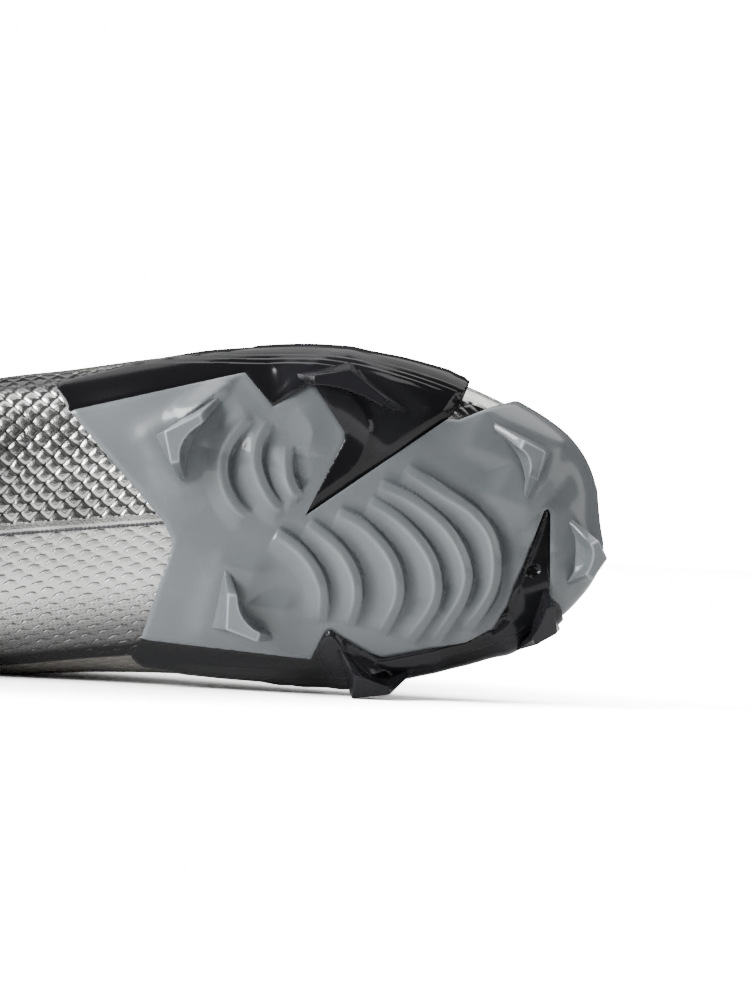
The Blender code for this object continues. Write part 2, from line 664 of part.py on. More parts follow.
def rib(number, start, middle, end):
    """A crescent ridge half sunk in the plate, thickest in its middle, with pointed ends."""
    curve = bpy.data.curves.new("rib", "CURVE")
    curve.dimensions = "3D"
    curve.bevel_depth = RIB_RADIUS
    curve.bevel_resolution = 1
    curve.use_fill_caps = True
    line = curve.splines.new("POLY")
    line.points.add(RIB_POINTS - 1)
    for k, spot in enumerate(line.points):
        f = k / (RIB_POINTS - 1)
        pull = [2 * m - 0.5 * (s + e) for s, m, e in zip(start, middle, end)]
        plan = [(1 - f) ** 2 * s + 2 * f * (1 - f) * p + f**2 * e for s, p, e in zip(start, pull, end)]
        point = under_sole(*on_plan(*plan), CLEARANCE + PLATE + RIB_RISE - RIB_RADIUS)
        spot.co = (*point, 1.0)
        spot.radius = RIB_END + (1 - RIB_END) * math.sin(math.pi * f)
    return mesh_of_curve(f"rib_{number}", curve)


def sole_blank(name, places, rim):
    """The moulded layer under the upper, from rim to rim, before it is cut to its outline."""
    steps = list(range(-rim, rim + 1))
    return grid_piece(name, places, steps, share_on, CLEARANCE + PLATE, PLATE)


def forefoot_places():
    return [place for place in STATIONS if np.interp(place, PLACES, ALONG) > FOREFOOT_START * LENGTH]


def heel_places():
    return [place for place in STATIONS if np.interp(place, PLACES, ALONG) < HEEL_END * LENGTH]


def make_upper():
    steps = list(range(-LOWER_STEPS - UPPER_STEPS, LOWER_STEPS + UPPER_STEPS + 1))

    def dropped(along, step):
        for first, last, kept_out in LASTING_OPENINGS:
            if first * LENGTH < along < last * LENGTH and abs(step) < kept_out:
                return True
        return False

    return grid_piece("upper", STATIONS, steps, share_on, 0.0, WALL, dropped)


def make_forefoot_plate():
    plate = sole_blank("forefoot_plate", forefoot_places(), LOWER_STEPS)
    raised = [stud(name, STUD_HEIGHT) for name in FOREFOOT_STUDS]
    raised += [rib(number, *row) for number, row in enumerate(RIBS)]
    combined(plate, raised, "UNION")
    combined(plate, [prism("outline", grown(FOREFOOT_EDGE, 0.0))], "INTERSECT")
    frames = [prism("frame", grown(outline, CLEARANCE)) for outline in (LATERAL_FRAME, MEDIAL_FRAME)]
    return combined(plate, frames, "DIFFERENCE")


def make_frame(name, outline, studs, places, rim, height):
    frame = sole_blank(name, places, rim)
    combined(frame, [stud(stud_name, height) for stud_name in studs], "UNION")
    return combined(frame, [prism("outline", grown(outline, 0.0))], "INTERSECT")


def make_heel_plate():
    plate = sole_blank("heel_plate", heel_places(), HEEL_RIM_STEP)
    combined(plate, [prism("outline", grown(HEEL_EDGE, 0.0))], "INTERSECT")
    return combined(plate, [prism("frame", grown(HEEL_FRAME, CLEARANCE))], "DIFFERENCE")


def make_insole():
    places = [place for place in STATIONS if INSOLE_ENDS[0] < place < LAST_PLACE - INSOLE_ENDS[1]]
    steps = list(range(-INSOLE_STEPS, INSOLE_STEPS + 1))
    return grid_piece("insole", places, steps, share_on, -(WALL + CLEARANCE), INSOLE)


def crown_share(place, reach):
    """The signed share of a point reach metres off the crown, along the girth."""
    girth = section(place)[4]
    return math.copysign(1.0 - abs(reach) / girth, reach)


def make_tongue():
    """Two halves meet on the crown, so the steps run from one lap over the top to the other."""
    first, last = place_at(TONGUE_TOP), place_at(TONGUE_FRONT)
    kept = [place for place in STATIONS if first + TONGUE_END_SPACING < place < last - TONGUE_END_SPACING]

    def share(place, step):
        along = float(np.interp(place, PLACES, ALONG))
        gap = max(throat_half_gap(min(max(along, THROAT_TOP), THROAT_FRONT - THROAT_END_RADIUS)), 0.0)
        return crown_share(place, (gap + TONGUE_LAP) * step / TONGUE_STEPS)

    return crown_piece("tongue", [first, *kept, last], TONGUE_STEPS, share, -(WALL + TONGUE_CLEARANCE), TONGUE)


def crown_piece(name, places, half_steps, share, out, thickness):
    """A wall that crosses the crown: its grid runs from the outer side over the crown to the inner side."""
    steps = list(range(half_steps, -half_steps - 1, -1))

    def signed(place, step):
        if step == 0:
            return 1.0
        return share(place, step)

    return grid_piece(name, places, steps, signed, out, thickness)


def make_eyestay(name, side):
    """An overlay along one edge of the throat, on the upper's own facets."""
    first, last = place_at(THROAT_TOP), place_at(THROAT_FRONT)
    places = [place for place in STATIONS if first <= place < last]
    outer = LOWER_STEPS + UPPER_STEPS
    steps = sorted(side * step for step in (outer - 2, outer - 1, outer))
    return grid_piece(name, places, steps, share_on, CLEARANCE + EYESTAY, EYESTAY)


def eyelet_place(number, side):
    """Place and signed share of an eyelet; 0 is the front pair."""
    along = FIRST_EYELET + (LAST_EYELET - FIRST_EYELET) * number / (EYELET_PAIRS - 1)
    place = place_at(along)
    return place, side * (edge_share(place) - EYELET_INSET / section(place)[4])


def eyelet_cutters(name):
    """A punch through both walls at each eyelet."""
    punches = []
    for number in range(EYELET_PAIRS):
        for side in (1, -1):
            place, share = eyelet_place(number, side)
            high, low = surface(place, share, PUNCH_REACH), surface(place, share, -PUNCH_REACH)
            mesh = bmesh.new()
            bmesh.ops.create_cone(
                mesh,
                cap_ends=True,
                segments=PUNCH_SIDES,
                radius1=EYELET_RADIUS,
                radius2=EYELET_RADIUS,
                depth=PUNCH_LENGTH,
            )
            data = bpy.data.meshes.new(name)
            mesh.to_mesh(data)
            mesh.free()
            punch = bpy.data.objects.new(f"{name}_{number}_{side}", data)
            turn = (high - low).to_track_quat("Z", "Y").to_matrix().to_4x4()
            data.transform(Matrix.Translation((high + low) / 2) @ turn)
            bpy.context.scene.collection.objects.link(punch)
            punches.append(punch)
    return punches


def lace_strand(name, start, end, out):
    """A flat strand over the crown from one eyelet to another. An end is a place and a signed share."""

    def off_crown(place, share):
        return math.copysign((1.0 - abs(share)) * section(place)[4], share)

    begin = Vector((float(np.interp(start[0], PLACES, ALONG)), off_crown(*start)))
    finish = Vector((float(np.interp(end[0], PLACES, ALONG)), off_crown(*end)))
    run = (finish - begin).normalized()
    wide = Vector((-run.y, run.x)) * LACE_WIDTH / 2
    mesh = bmesh.new()
    bmesh.ops.create_grid(mesh, x_segments=LACE_SEGMENTS, y_segments=1, size=0.5)
    for vert in mesh.verts:
        spot = begin + (finish - begin) * (vert.co.x + 0.5) + wide * (2 * vert.co.y)
        place = place_at(spot.x)
        share = crown_share(place, spot.y) if abs(spot.y) > 1e-6 else 1.0
        vert.co = surface(place, share, out + LACE_THICKNESS)
    bmesh.ops.reverse_faces(mesh, faces=mesh.faces)
    data = bpy.data.meshes.new(name)
    mesh.to_mesh(data)
    mesh.free()
    piece = bpy.data.objects.new(name, data)
    bpy.context.scene.collection.objects.link(piece)
    wall = piece.modifiers.new("wall", "SOLIDIFY")
    wall.thickness = LACE_THICKNESS
    wall.offset = -1.0
    baked(piece)
    closed = bmesh.new()
    closed.from_mesh(piece.data)
    bmesh.ops.recalc_face_normals(closed, faces=closed.faces)
    closed.to_mesh(piece.data)
    closed.free()
    return piece


def make_laces():
    """Crossings from pair to pair, one strand half a thickness over the other, and a bar at the front pair."""
    base = CLEARANCE + EYESTAY + LACE_CLEARANCE
    laces = lace_strand("laces", eyelet_place(0, -1), eyelet_place(0, 1), base)
    strands = []
    for number in range(EYELET_PAIRS - 1):
        for side in (1, -1):
            over = base + (0.5 * LACE_THICKNESS if side > 0 else 0.25 * LACE_THICKNESS * (number % 2))
            start, end = eyelet_place(number, side), eyelet_place(number + 1, -side)
            strands.append(lace_strand(f"strand_{number}_{side}", start, end, over))
    return combined(laces, strands, "UNION")


def finish(piece):
    """The piece's own material, and smooth shading between its sharp edges."""
    colour, roughness, metallic = FINISHES[piece.name]
    material = bpy.data.materials.new(piece.name)
    material.use_nodes = True
    shader = material.node_tree.nodes["Principled BSDF"]
    shader.inputs["Base Color"].default_value = (*colour, 1.0)
    shader.inputs["Roughness"].default_value = roughness
    shader.inputs["Metallic"].default_value = metallic
    piece.data.materials.clear()
    piece.data.materials.append(material)
    piece.data.shade_smooth()
    piece.data.set_sharp_from_angle(angle=math.radians(32))


def weight_of(piece):
    """Weight and weighted middle of a closed mesh, from the tetrahedra under its triangles."""
    piece.data.calc_loop_triangles()
    points = np.array([v.co for v in piece.data.vertices])
    corners = points[np.array([t.vertices for t in piece.data.loop_triangles])]
    volumes = np.einsum("ij,ij->i", corners[:, 0], np.cross(corners[:, 1], corners[:, 2])) / 6
    density = FLOOR_WEIGHTS.get(piece.name, MOULDED_WEIGHT)
    return density * volumes.sum(), density * (corners.sum(axis=1) / 4 * volumes[:, None]).sum(axis=0)


def resting_turn(pieces):
    """The turn that lays the shoe on the face of its hull, on the inner side, that its weight falls through."""
    weights = [weight_of(piece) for piece in pieces]
    middle = Vector(sum(moment for _, moment in weights) / sum(weight for weight, _ in weights))
    hull = bmesh.new()
    for piece in pieces:
        for vert in piece.data.vertices:
            hull.verts.new(vert.co)
    made = bmesh.ops.convex_hull(hull, input=hull.verts)
    inside = [v for v in made["geom_interior"] if isinstance(v, bmesh.types.BMVert)]
    bmesh.ops.delete(hull, geom=inside, context="VERTS")
    best, down = -math.inf, None
    for face in hull.faces:
        if face.normal.y < 0.7:
            continue
        foot = middle + face.normal * face.normal.dot(face.verts[0].co - middle)
        corners = [vert.co.copy() for vert in face.verts]
        inside_by = min(
            (b - a).normalized().cross(foot - a).dot(face.normal) for a, b in zip(corners, corners[1:] + corners[:1])
        )
        if inside_by > best:
            best, down = inside_by, face.normal.copy()
    hull.free()
    up = -down
    toe = Vector((1.0, 0.0, 0.0))
    toe = (toe - up * toe.dot(up)).normalized()
    back = up.cross(toe)
    return Matrix((toe, back, up)).to_4x4()


def lay_down(pieces):
    """Parents the pieces to an empty that lays them on the floor, centred over the origin."""
    turn = resting_turn(pieces)
    points = np.array([turn @ v.co for piece in pieces for v in piece.data.vertices])
    low, high = points.min(axis=0), points.max(axis=0)
    shift = Matrix.Translation((-(low[0] + high[0]) / 2, -(low[1] + high[1]) / 2, -low[2]))
    lying = bpy.data.objects.new("lying_shoe", None)
    bpy.context.scene.collection.objects.link(lying)
    lying.matrix_world = shift @ turn
    for piece in pieces:
        piece.parent = lying


def build():
    for old in list(bpy.data.objects):
        bpy.data.objects.remove(old)
    upper = make_upper()
    combined(upper, eyelet_cutters("punch_upper"), "DIFFERENCE")
    eyestays = [make_eyestay("eyestay_lateral", 1), make_eyestay("eyestay_medial", -1)]
    for eyestay in eyestays:
        combined(eyestay, eyelet_cutters("punch_eyestay"), "DIFFERENCE")
    pieces = [
        upper,
        *eyestays,
        make_forefoot_plate(),
        make_frame("lateral_frame", LATERAL_FRAME, LATERAL_STUDS, forefoot_places(), LOWER_STEPS, STUD_HEIGHT),
        make_frame("medial_frame", MEDIAL_FRAME, MEDIAL_STUDS, forefoot_places(), LOWER_STEPS, STUD_HEIGHT),
        make_heel_plate(),
        make_frame("heel_frame", HEEL_FRAME, HEEL_STUDS, heel_places(), HEEL_RIM_STEP, HEEL_STUD_HEIGHT),
        make_insole(),
        make_tongue(),
        make_laces(),
    ]
    shoe = bpy.data.collections.new("football_cleat")
    bpy.context.scene.collection.children.link(shoe)
    for piece in pieces:
        finish(piece)
        bpy.context.scene.collection.objects.unlink(piece)
        shoe.objects.link(piece)
    lay_down(pieces)


build()
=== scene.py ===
"""The looks of a moulded football cleat for the right foot, lying on its inner side.

The file is laid out as an add-on and is run as a script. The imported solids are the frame: each piece made
here repeats the last that the solids were built on, with finer forms, and stands in their place. Points of
the shoe are worked out in the last's own frame, +X from heel to toe and -Y to the outer side, and then laid.
"""

import math
from functools import lru_cache, partial

import bmesh
import bpy
import numpy as np
from bpy.props import FloatProperty, FloatVectorProperty, PointerProperty
from mathutils import Matrix, Vector


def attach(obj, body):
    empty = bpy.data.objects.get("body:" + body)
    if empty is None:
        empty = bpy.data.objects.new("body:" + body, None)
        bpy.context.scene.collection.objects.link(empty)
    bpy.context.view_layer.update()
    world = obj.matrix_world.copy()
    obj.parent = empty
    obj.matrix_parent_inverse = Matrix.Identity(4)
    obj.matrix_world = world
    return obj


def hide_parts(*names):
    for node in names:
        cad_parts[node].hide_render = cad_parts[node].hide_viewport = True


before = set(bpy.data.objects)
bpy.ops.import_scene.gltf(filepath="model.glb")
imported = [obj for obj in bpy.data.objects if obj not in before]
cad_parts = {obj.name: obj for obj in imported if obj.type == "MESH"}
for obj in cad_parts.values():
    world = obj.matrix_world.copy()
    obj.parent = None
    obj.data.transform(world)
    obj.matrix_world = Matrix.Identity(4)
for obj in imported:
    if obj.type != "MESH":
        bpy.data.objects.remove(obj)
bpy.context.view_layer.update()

bl_info = {
    "name": "Football cleat looks",
    "version": (1, 0, 0),
    "blender": (4, 5, 0),
    "location": "3D View > Sidebar > Cleat",
    "description": "Builds the visible pieces, finishes, floor, light and camera of a moulded football cleat",
    "category": "Object",
}

OUTER = -1.0
MM = 0.001

# Turn and place of the last's own frame in the lying shoe's frame
LYING = Matrix(
    (
        (0.9925416, 0.1218678, 0.0030783, -0.1446001),
        (0.0, -0.0252512, 0.9996812, -0.0476739),
        (0.1219066, -0.9922251, -0.0250628, 0.0308575),
        (0.0, 0.0, 0.0, 1.0),
    )
)
TURN = np.array(LYING.to_3x3())
SHIFT = np.array(LYING.translation)

# Sizes of the last, in metres, as the solids have them
LENGTH = 0.2885
HEEL_WIDTH = 0.0720
WAIST_WIDTH = 0.0924
BALL_WIDTH = 0.1035
HEEL_LIFT = 0.0030
ARCH_RISE = 0.0070
TOE_SPRING = 0.0138
TIP_HEIGHT = 0.0210
SIDE_HEIGHT = 0.0250
INSTEP_HEIGHT = 0.0920
ANKLE_HEIGHT = 0.1180
TOE_HEIGHT = 0.0360
HEEL_CURVE = 0.0090
COLLAR_BACK = 0.0790
COLLAR_DIP = 0.0610
THROAT_TOP = 0.1050
THROAT_FRONT = 0.1920
THROAT_GAP = 0.0340
THROAT_END_GAP = 0.0190
THROAT_END_RADIUS = 0.0080
WALL = 0.0018
PLATE = 0.0024
CLEARANCE = 0.0003
STUD_HEIGHT = 0.0112
HEEL_STUD_HEIGHT = 0.0118
INSOLE = 0.0034
TONGUE = 0.0036
TONGUE_CLEARANCE = 0.0022
TONGUE_LAP = 0.0110
TONGUE_TOP = 0.0925
TONGUE_FRONT = 0.2000
EYESTAY = 0.0010
EYELET_PAIRS = 6
EYELET_RADIUS = 0.0019
EYELET_INSET = 0.0066
FIRST_EYELET = 0.1800
LAST_EYELET = 0.1130
LACE_WIDTH = 0.0048
LACE_THICKNESS = 0.0012
LACE_CLEARANCE = 0.0008
DENSE = 241

# Sections of the last, heel to toe, as shares: place along, half width, centre, sole line, widest line,
# crown, then squareness of the lower and upper half, and lean of the crown
LAST = (
    (0.000, 0.000, 0.000, 2.40, 0.80, 1.000, 3.0, 1.8, 0.0),
    (0.005, 0.140, 0.000, 1.70, 0.84, 1.000, 3.0, 1.8, 0.0),
    (0.023, 0.288, 0.000, 1.25, 0.88, 1.000, 3.0, 1.8, 0.0),
    (0.059, 0.412, 0.000, 1.05, 0.92, 1.000, 3.0, 1.8, 0.0),
    (0.125, 0.484, 0.000, 1.00, 0.96, 1.000, 3.0, 1.8, 0.0),
    (0.208, 0.504, 0.003, 0.52, 1.00, 0.990, 2.8, 1.8, 0.0),
    (0.291, 0.430, 0.012, 0.77, 1.04, 0.950, 2.7, 1.9, -0.050),
    (0.374, 0.486, 0.018, 1.00, 1.08, 1.000, 2.6, 2.2, -0.085),
    (0.464, 0.500, 0.018, 0.86, 1.00, 0.880, 2.7, 2.1, -0.085),
    (0.555, 0.464, 0.014, 0.37, 0.88, 0.783, 2.9, 2.0, -0.070),
    (0.645, 0.481, 0.000, 0.06, 0.70, 0.685, 3.0, 2.0, -0.050),
    (0.728, 0.484, -0.014, 0.00, 0.60, 0.598, 3.0, 2.1, -0.025),
    (0.804, 0.450, -0.031, 0.07, 0.55, 1.320, 3.0, 2.2, 0.0),
    (0.873, 0.394, -0.059, 0.28, 0.52, 1.125, 2.9, 2.2, 0.0),
    (0.929, 0.318, -0.072, 0.54, 0.48, 0.945, 2.8, 2.2, 0.0),
    (0.967, 0.238, -0.075, 0.78, 0.40, 0.750, 2.6, 2.1, 0.0),
    (0.991, 0.146, -0.079, 1.00, 0.28, 0.490, 2.3, 2.0, 0.0),
    (1.000, 0.000, -0.080, 1.00, 0.00, 0.000, 2.0, 2.0, 0.0),
)

# The sizes that the half widths, the sole lines and the crowns are shares of, section by section
WIDTHS = 6 * (HEEL_WIDTH,) + 3 * (WAIST_WIDTH,) + 9 * (BALL_WIDTH,)
SOLE_LINES = 5 * (HEEL_LIFT,) + 6 * (ARCH_RISE,) + 6 * (TOE_SPRING,) + (TIP_HEIGHT,)
CROWNS = 7 * (ANKLE_HEIGHT,) + 5 * (INSTEP_HEIGHT,) + 6 * (TOE_HEIGHT,)

# The collar's edge: share of the way from the heel to the throat's top, and height
COLLAR = (
    (-0.10, 0.99 * COLLAR_BACK),
    (0.00, 1.00 * COLLAR_BACK),
    (0.14, 0.97 * COLLAR_BACK),
    (0.34, 1.10 * COLLAR_DIP),
    (0.57, 1.00 * COLLAR_DIP),
    (0.77, 1.09 * COLLAR_DIP),
    (0.92, 1.37 * COLLAR_DIP),
    (1.04, 1.80 * COLLAR_DIP),
    (1.20, 2.60 * COLLAR_DIP),
)

# Outlines on the sole: shares of the length from the heel and of the ball's width to the outer side
FOREFOOT_EDGE = (
    (0.461, 0.341), (0.551, 0.000), (0.559, -0.057), (0.556, -0.091), (0.518, -0.339), (0.530, -0.380),
    (0.600, -0.430), (0.690, -0.475), (0.770, -0.480), (0.860, -0.460), (0.930, -0.440), (0.957, -0.640),
    (1.100, -0.640), (1.100, 0.231), (0.937, 0.300), (0.925, 0.275), (0.902, 0.262), (0.888, 0.250),
    (0.866, 0.231), (0.850, 0.240), (0.830, 0.330), (0.760, 0.400), (0.700, 0.460), (0.620, 0.460),
    (0.550, 0.420), (0.480, 0.385), (0.467, 0.365),
)
LATERAL_FRAME = (
    (0.450, 0.425), (0.449, 0.404), (0.461, 0.341), (0.647, 0.414), (0.653, 0.392), (0.674, 0.309),
    (0.712, 0.365), (0.720, 0.358), (0.747, 0.219), (0.746, 0.196), (0.700, -0.013), (0.857, 0.240),
    (0.871, 0.286), (0.881, 0.340), (0.872, 0.440), (0.800, 0.640), (0.720, 0.640), (0.690, 0.540),
    (0.650, 0.499), (0.600, 0.487), (0.550, 0.474), (0.520, 0.462), (0.480, 0.444), (0.456, 0.432),
)
MEDIAL_FRAME = (
    (0.518, -0.339), (0.694, -0.433), (0.712, -0.358), (0.717, -0.351), (0.723, -0.366), (0.763, -0.444),
    (0.769, -0.446), (0.857, -0.417), (0.885, -0.385), (0.903, -0.319), (0.948, -0.052), (0.952, -0.047),
    (0.954, -0.062), (0.947, -0.305), (0.958, -0.335), (0.963, -0.400), (0.963, -0.640), (0.710, -0.640),
    (0.680, -0.520), (0.640, -0.489), (0.600, -0.472), (0.560, -0.452), (0.516, -0.424), (0.505, -0.385),
)
HEEL_EDGE = (
    (-0.10, 0.50), (0.322, 0.50), (0.318, 0.300), (0.270, 0.060),
    (0.270, -0.040), (0.300, -0.280), (0.304, -0.50), (-0.10, -0.50),
)
HEEL_FRAME = (
    (-0.10, 0.50), (0.322, 0.50), (0.318, 0.300), (0.300, 0.212), (0.262, 0.262), (0.205, 0.215),
    (0.120, 0.245), (0.075, 0.190), (0.040, 0.085), (0.040, -0.085), (0.075, -0.190), (0.120, -0.245),
    (0.195, -0.215), (0.250, -0.255), (0.286, -0.205), (0.300, -0.280), (0.304, -0.50), (-0.10, -0.50),
)

# Studs: for the tip and for the base, the chevron's corner, two arms (degrees, metres) and their width
STUDS = {
    "rear_lateral": (
        (0.560, 0.258, 22, 0.0118, -83, 0.0098, 0.0029),
        (0.545, 0.245, 29, 0.0265, -61, 0.0178, 0.0090),
    ),
    "rear_medial": (
        (0.609, -0.326, 83, 0.0105, -26, 0.0100, 0.0029),
        (0.586, -0.318, 69, 0.0200, -15, 0.0220, 0.0088),
    ),
    "toe_lateral": (
        (0.954, 0.119, 149, 0.0074, 249, 0.0088, 0.0029),
        (0.965, 0.128, 152, 0.0235, 238, 0.0200, 0.0080),
    ),
    "toe_tip": (
        (1.010, -0.203, 112, 0.0060, 231, 0.0078, 0.0027),
        (1.000, -0.192, 123, 0.0160, 219, 0.0150, 0.0085),
    ),
    "outer_ball": (
        (0.757, 0.396, -42, 0.0142, 184, 0.0112, 0.0029),
        (0.757, 0.432, -44, 0.0250, 190, 0.0180, 0.0120),
    ),
    "inner_toe": (
        (0.952, -0.409, 92, 0.0080, 205, 0.0072, 0.0027),
        (0.957, -0.404, 104, 0.0150, 200, 0.0165, 0.0072),
    ),
    "inner_ball": (
        (0.733, -0.553, 76, 0.0070, 1, 0.0116, 0.0027),
        (0.728, -0.500, 108, 0.0140, 10, 0.0260, 0.0070),
    ),
    "heel_outer_front": (
        (0.268, 0.300, 160, 0.0098, -88, 0.0092, 0.0029),
        (0.275, 0.315, 168, 0.0165, -96, 0.0125, 0.0074),
    ),
    "heel_inner_front": (
        (0.258, -0.295, 200, 0.0098, 88, 0.0092, 0.0029),
        (0.265, -0.310, 192, 0.0165, 96, 0.0125, 0.0074),
    ),
    "heel_outer_back": (
        (0.100, 0.245, 20, 0.0098, -92, 0.0092, 0.0029),
        (0.092, 0.262, 12, 0.0165, -84, 0.0125, 0.0074),
    ),
    "heel_inner_back": (
        (0.100, -0.245, -20, 0.0098, 92, 0.0092, 0.0029),
        (0.092, -0.262, -12, 0.0165, 84, 0.0125, 0.0074),
    ),
}

# How deep the inner corner of a stud is scooped, where it isn't nearly all of it
SCOOP = 0.9
SCOOPS = {"inner_ball": 0.1, "inner_toe": 0.25, "outer_ball": 0.7}

# The studs' feet: how narrow their arms are beside the table's, and how far the arms' ends run to a point
BASE_NARROWING = 0.78
POINTED = 0.8

# Crests of the ribs under the ball, in the outlines' shares: an outer fan and an inner fan
RIBS = (
    ((0.649, 0.294), (0.630, 0.243), (0.616, 0.181), (0.614, 0.101), (0.623, 0.032), (0.637, -0.012)),
    ((0.666, 0.270), (0.654, 0.220), (0.649, 0.152), (0.654, 0.084), (0.665, 0.023), (0.675, 0.001)),
    ((0.683, 0.191), (0.681, 0.145), (0.682, 0.092), (0.687, 0.051), (0.692, 0.035)),
    ((0.665, -0.067), (0.679, -0.096), (0.693, -0.136), (0.704, -0.191), (0.708, -0.250), (0.704, -0.325)),
    ((0.699, -0.045), (0.719, -0.095), (0.734, -0.145), (0.743, -0.211), (0.742, -0.274), (0.733, -0.337)),
    ((0.731, -0.022), (0.755, -0.062), (0.776, -0.130), (0.786, -0.196), (0.785, -0.277), (0.766, -0.366)),
    ((0.765, 0.006), (0.791, -0.046), (0.814, -0.121), (0.826, -0.199), (0.823, -0.291), (0.794, -0.395)),
    ((0.777, 0.050), (0.811, -0.004), (0.842, -0.086), (0.858, -0.182), (0.854, -0.274), (0.821, -0.401)),
    ((0.805, 0.091), (0.842, 0.013), (0.872, -0.051), (0.889, -0.136), (0.885, -0.263), (0.855, -0.373)),
)

LASTING_OPENINGS = ((0.075, 0.250, 0.42), (0.600, 0.900, 0.56))

# Moulded folds: their line on the plan, rise, and reach on the heel's and on the toe's side
PLATE_FOLDS = (
    (((0.578, 0.284), (0.606, 0.330), (0.629, 0.374)), 2.4 * MM, 6.0 * MM, 2.6 * MM),
    (((0.540, 0.170), (0.553, 0.110), (0.560, 0.020)), 0.5 * MM, 9.0 * MM, 7.0 * MM),
    (((0.700, 0.300), (0.713, 0.232), (0.706, 0.160)), 1.1 * MM, 7.0 * MM, 7.0 * MM),
    (((0.905, 0.180), (0.925, 0.060), (0.930, -0.060)), 0.9 * MM, 9.0 * MM, 6.0 * MM),
)
LATERAL_FOLDS = (
    (((0.676, 0.318), (0.686, 0.350), (0.715, 0.405), (0.731, 0.440)), 0.35 * MM, 2.6 * MM, 5.0 * MM),
    (((0.679, 0.450), (0.681, 0.395), (0.684, 0.345)), 0.2 * MM, 2.2 * MM, 4.0 * MM),
    (((0.752, 0.330), (0.768, 0.262), (0.770, 0.190), (0.752, 0.105)), 1.2 * MM, 7.0 * MM, 2.6 * MM),
    (((0.800, 0.470), (0.845, 0.425), (0.866, 0.360)), 0.7 * MM, 6.0 * MM, 5.0 * MM),
)
MEDIAL_FOLDS = (
    (((0.716, -0.356), (0.722, -0.381), (0.736, -0.456), (0.740, -0.501)), 1.3 * MM, 5.0 * MM, 2.0 * MM),
    (((0.560, -0.412), (0.630, -0.440), (0.700, -0.462)), 0.7 * MM, 3.0 * MM, 2.2 * MM),
    (((0.760, -0.462), (0.820, -0.462), (0.880, -0.430)), 0.7 * MM, 3.0 * MM, 2.4 * MM),
    (((0.906, -0.300), (0.928, -0.180), (0.948, -0.062)), 0.9 * MM, 3.4 * MM, 1.6 * MM),
)
RIM_LEDGES = tuple((distance * MM, 0.3 * MM) for distance in (6.4, 8.6, 10.3, 11.8, 13.4))
MEDIAL_LEDGES = ((9.0 * MM, 0.35 * MM),)
DIMPLES = (((0.933, -0.223), (0.931, -0.226), 1.7 * MM), ((0.886, -0.385), (0.898, -0.357), 1.2 * MM))
CHAMFER = 3.0 * MM
SEAM_GAP = 0.05 * MM
GIRTH_SCALE = 0.1188  # half girth that the film's flat coordinates are spread over
SCALE_PITCH = 5.4 * MM
SCALE_ROW = GIRTH_SCALE / 54
SHANK = (0.085, 0.105)  # where the dark bands along the film's edges begin; some of them are painted shade
INSOLE_REACH = (0.0040, 0.2800)
INSOLE_NARROWING = 1.75  # how many times as far out as the insole's edge the widest line lies
HEEL_SPAN = 5 / 7  # share of the way from the middle line to the widest line
STAY_SPAN = 0.6  # where the eyestays begin, between the widest line and the throat
STITCH_LINES = (0.68, 0.955)
STUD_FOOT = 0.22  # share of a stud's height above which its sides take painted shade
# Share of a stud's height above which its tip takes a painted highlight round its rim
STUD_TIP = 0.93
HEEL_INSIDE = (
    (0.322, 0.20), (0.262, 0.262), (0.205, 0.215), (0.120, 0.245), (0.075, 0.190), (0.040, 0.085),
    (0.040, -0.085), (0.075, -0.190), (0.120, -0.245), (0.195, -0.215), (0.250, -0.255), (0.304, -0.20),
)
SPIKE_BORDER = ((0.700, -0.013), (0.817, 0.169), (0.857, 0.240), (0.871, 0.286))


def catmull(rows, place):
    """The smooth value at a place counted in rows; the first and last of rows only shape the ends."""
    first = min(int(place), len(rows) - 4)
    f = place - first
    a, b, c, d = rows[first : first + 4]
    return 0.5 * (2 * b + (c - a) * f + (2 * a - 5 * b + 4 * c - d) * f**2 + (3 * b - a - 3 * c + d) * f**3)


def last_rows():
    """The section table with level, drop and rise in place of sole line, side and crown, and ghost ends."""
    rows = []
    for shares, width, sole, top in zip(LAST, WIDTHS, SOLE_LINES, CROWNS):
        at, half, centre, under, side, crown, sole_power, crown_power, lean = shares
        under, side, crown = under * sole, side * SIDE_HEIGHT, crown * top
        row = [at * LENGTH, half * width, centre * BALL_WIDTH, under + side, side, crown - side]
        rows.append(row + [sole_power, crown_power, lean * BALL_WIDTH])
    rows = np.array(rows)
    before, after = rows[1].copy(), rows[-2].copy()
    before[1] = -before[1]
    after[[1, 4, 5]] = -after[[1, 4, 5]]
    return np.vstack([before, rows, after])


ROWS = last_rows()
LAST_PLACE = len(LAST) - 1
PLACES = np.linspace(0, LAST_PLACE, 40 * LAST_PLACE + 1)
ALONG = np.array([catmull(ROWS[:, 0], place) for place in PLACES])


def place_at(along):
    """The place, counted in rows, of a section a distance from the heel."""
    return float(np.interp(along, ALONG, PLACES))


@lru_cache(maxsize=None)
def section(place):
    """Half a section: its row, shares of the half girth, offsets, heights, and the half girth."""
    row = catmull(ROWS, place)
    half, level, drop, rise = max(row[1], 0.0), row[3], max(row[4], 0.0), max(row[5], 0.0)
    turn = np.linspace(0, math.pi / 2, DENSE)
    low, high = 2 / row[6], 2 / row[7]
    off = np.concatenate([half * np.sin(turn) ** low, half * np.cos(turn[1:]) ** high])
    height = np.concatenate([level - drop * np.cos(turn) ** low, level + rise * np.sin(turn[1:]) ** high])
    girth = np.concatenate([[0.0], np.cumsum(np.hypot(np.diff(off), np.diff(height)))])
    shares = girth / girth[-1] if girth[-1] > 0 else np.linspace(0, 1, len(girth))
    return row, shares, off, height, float(girth[-1])


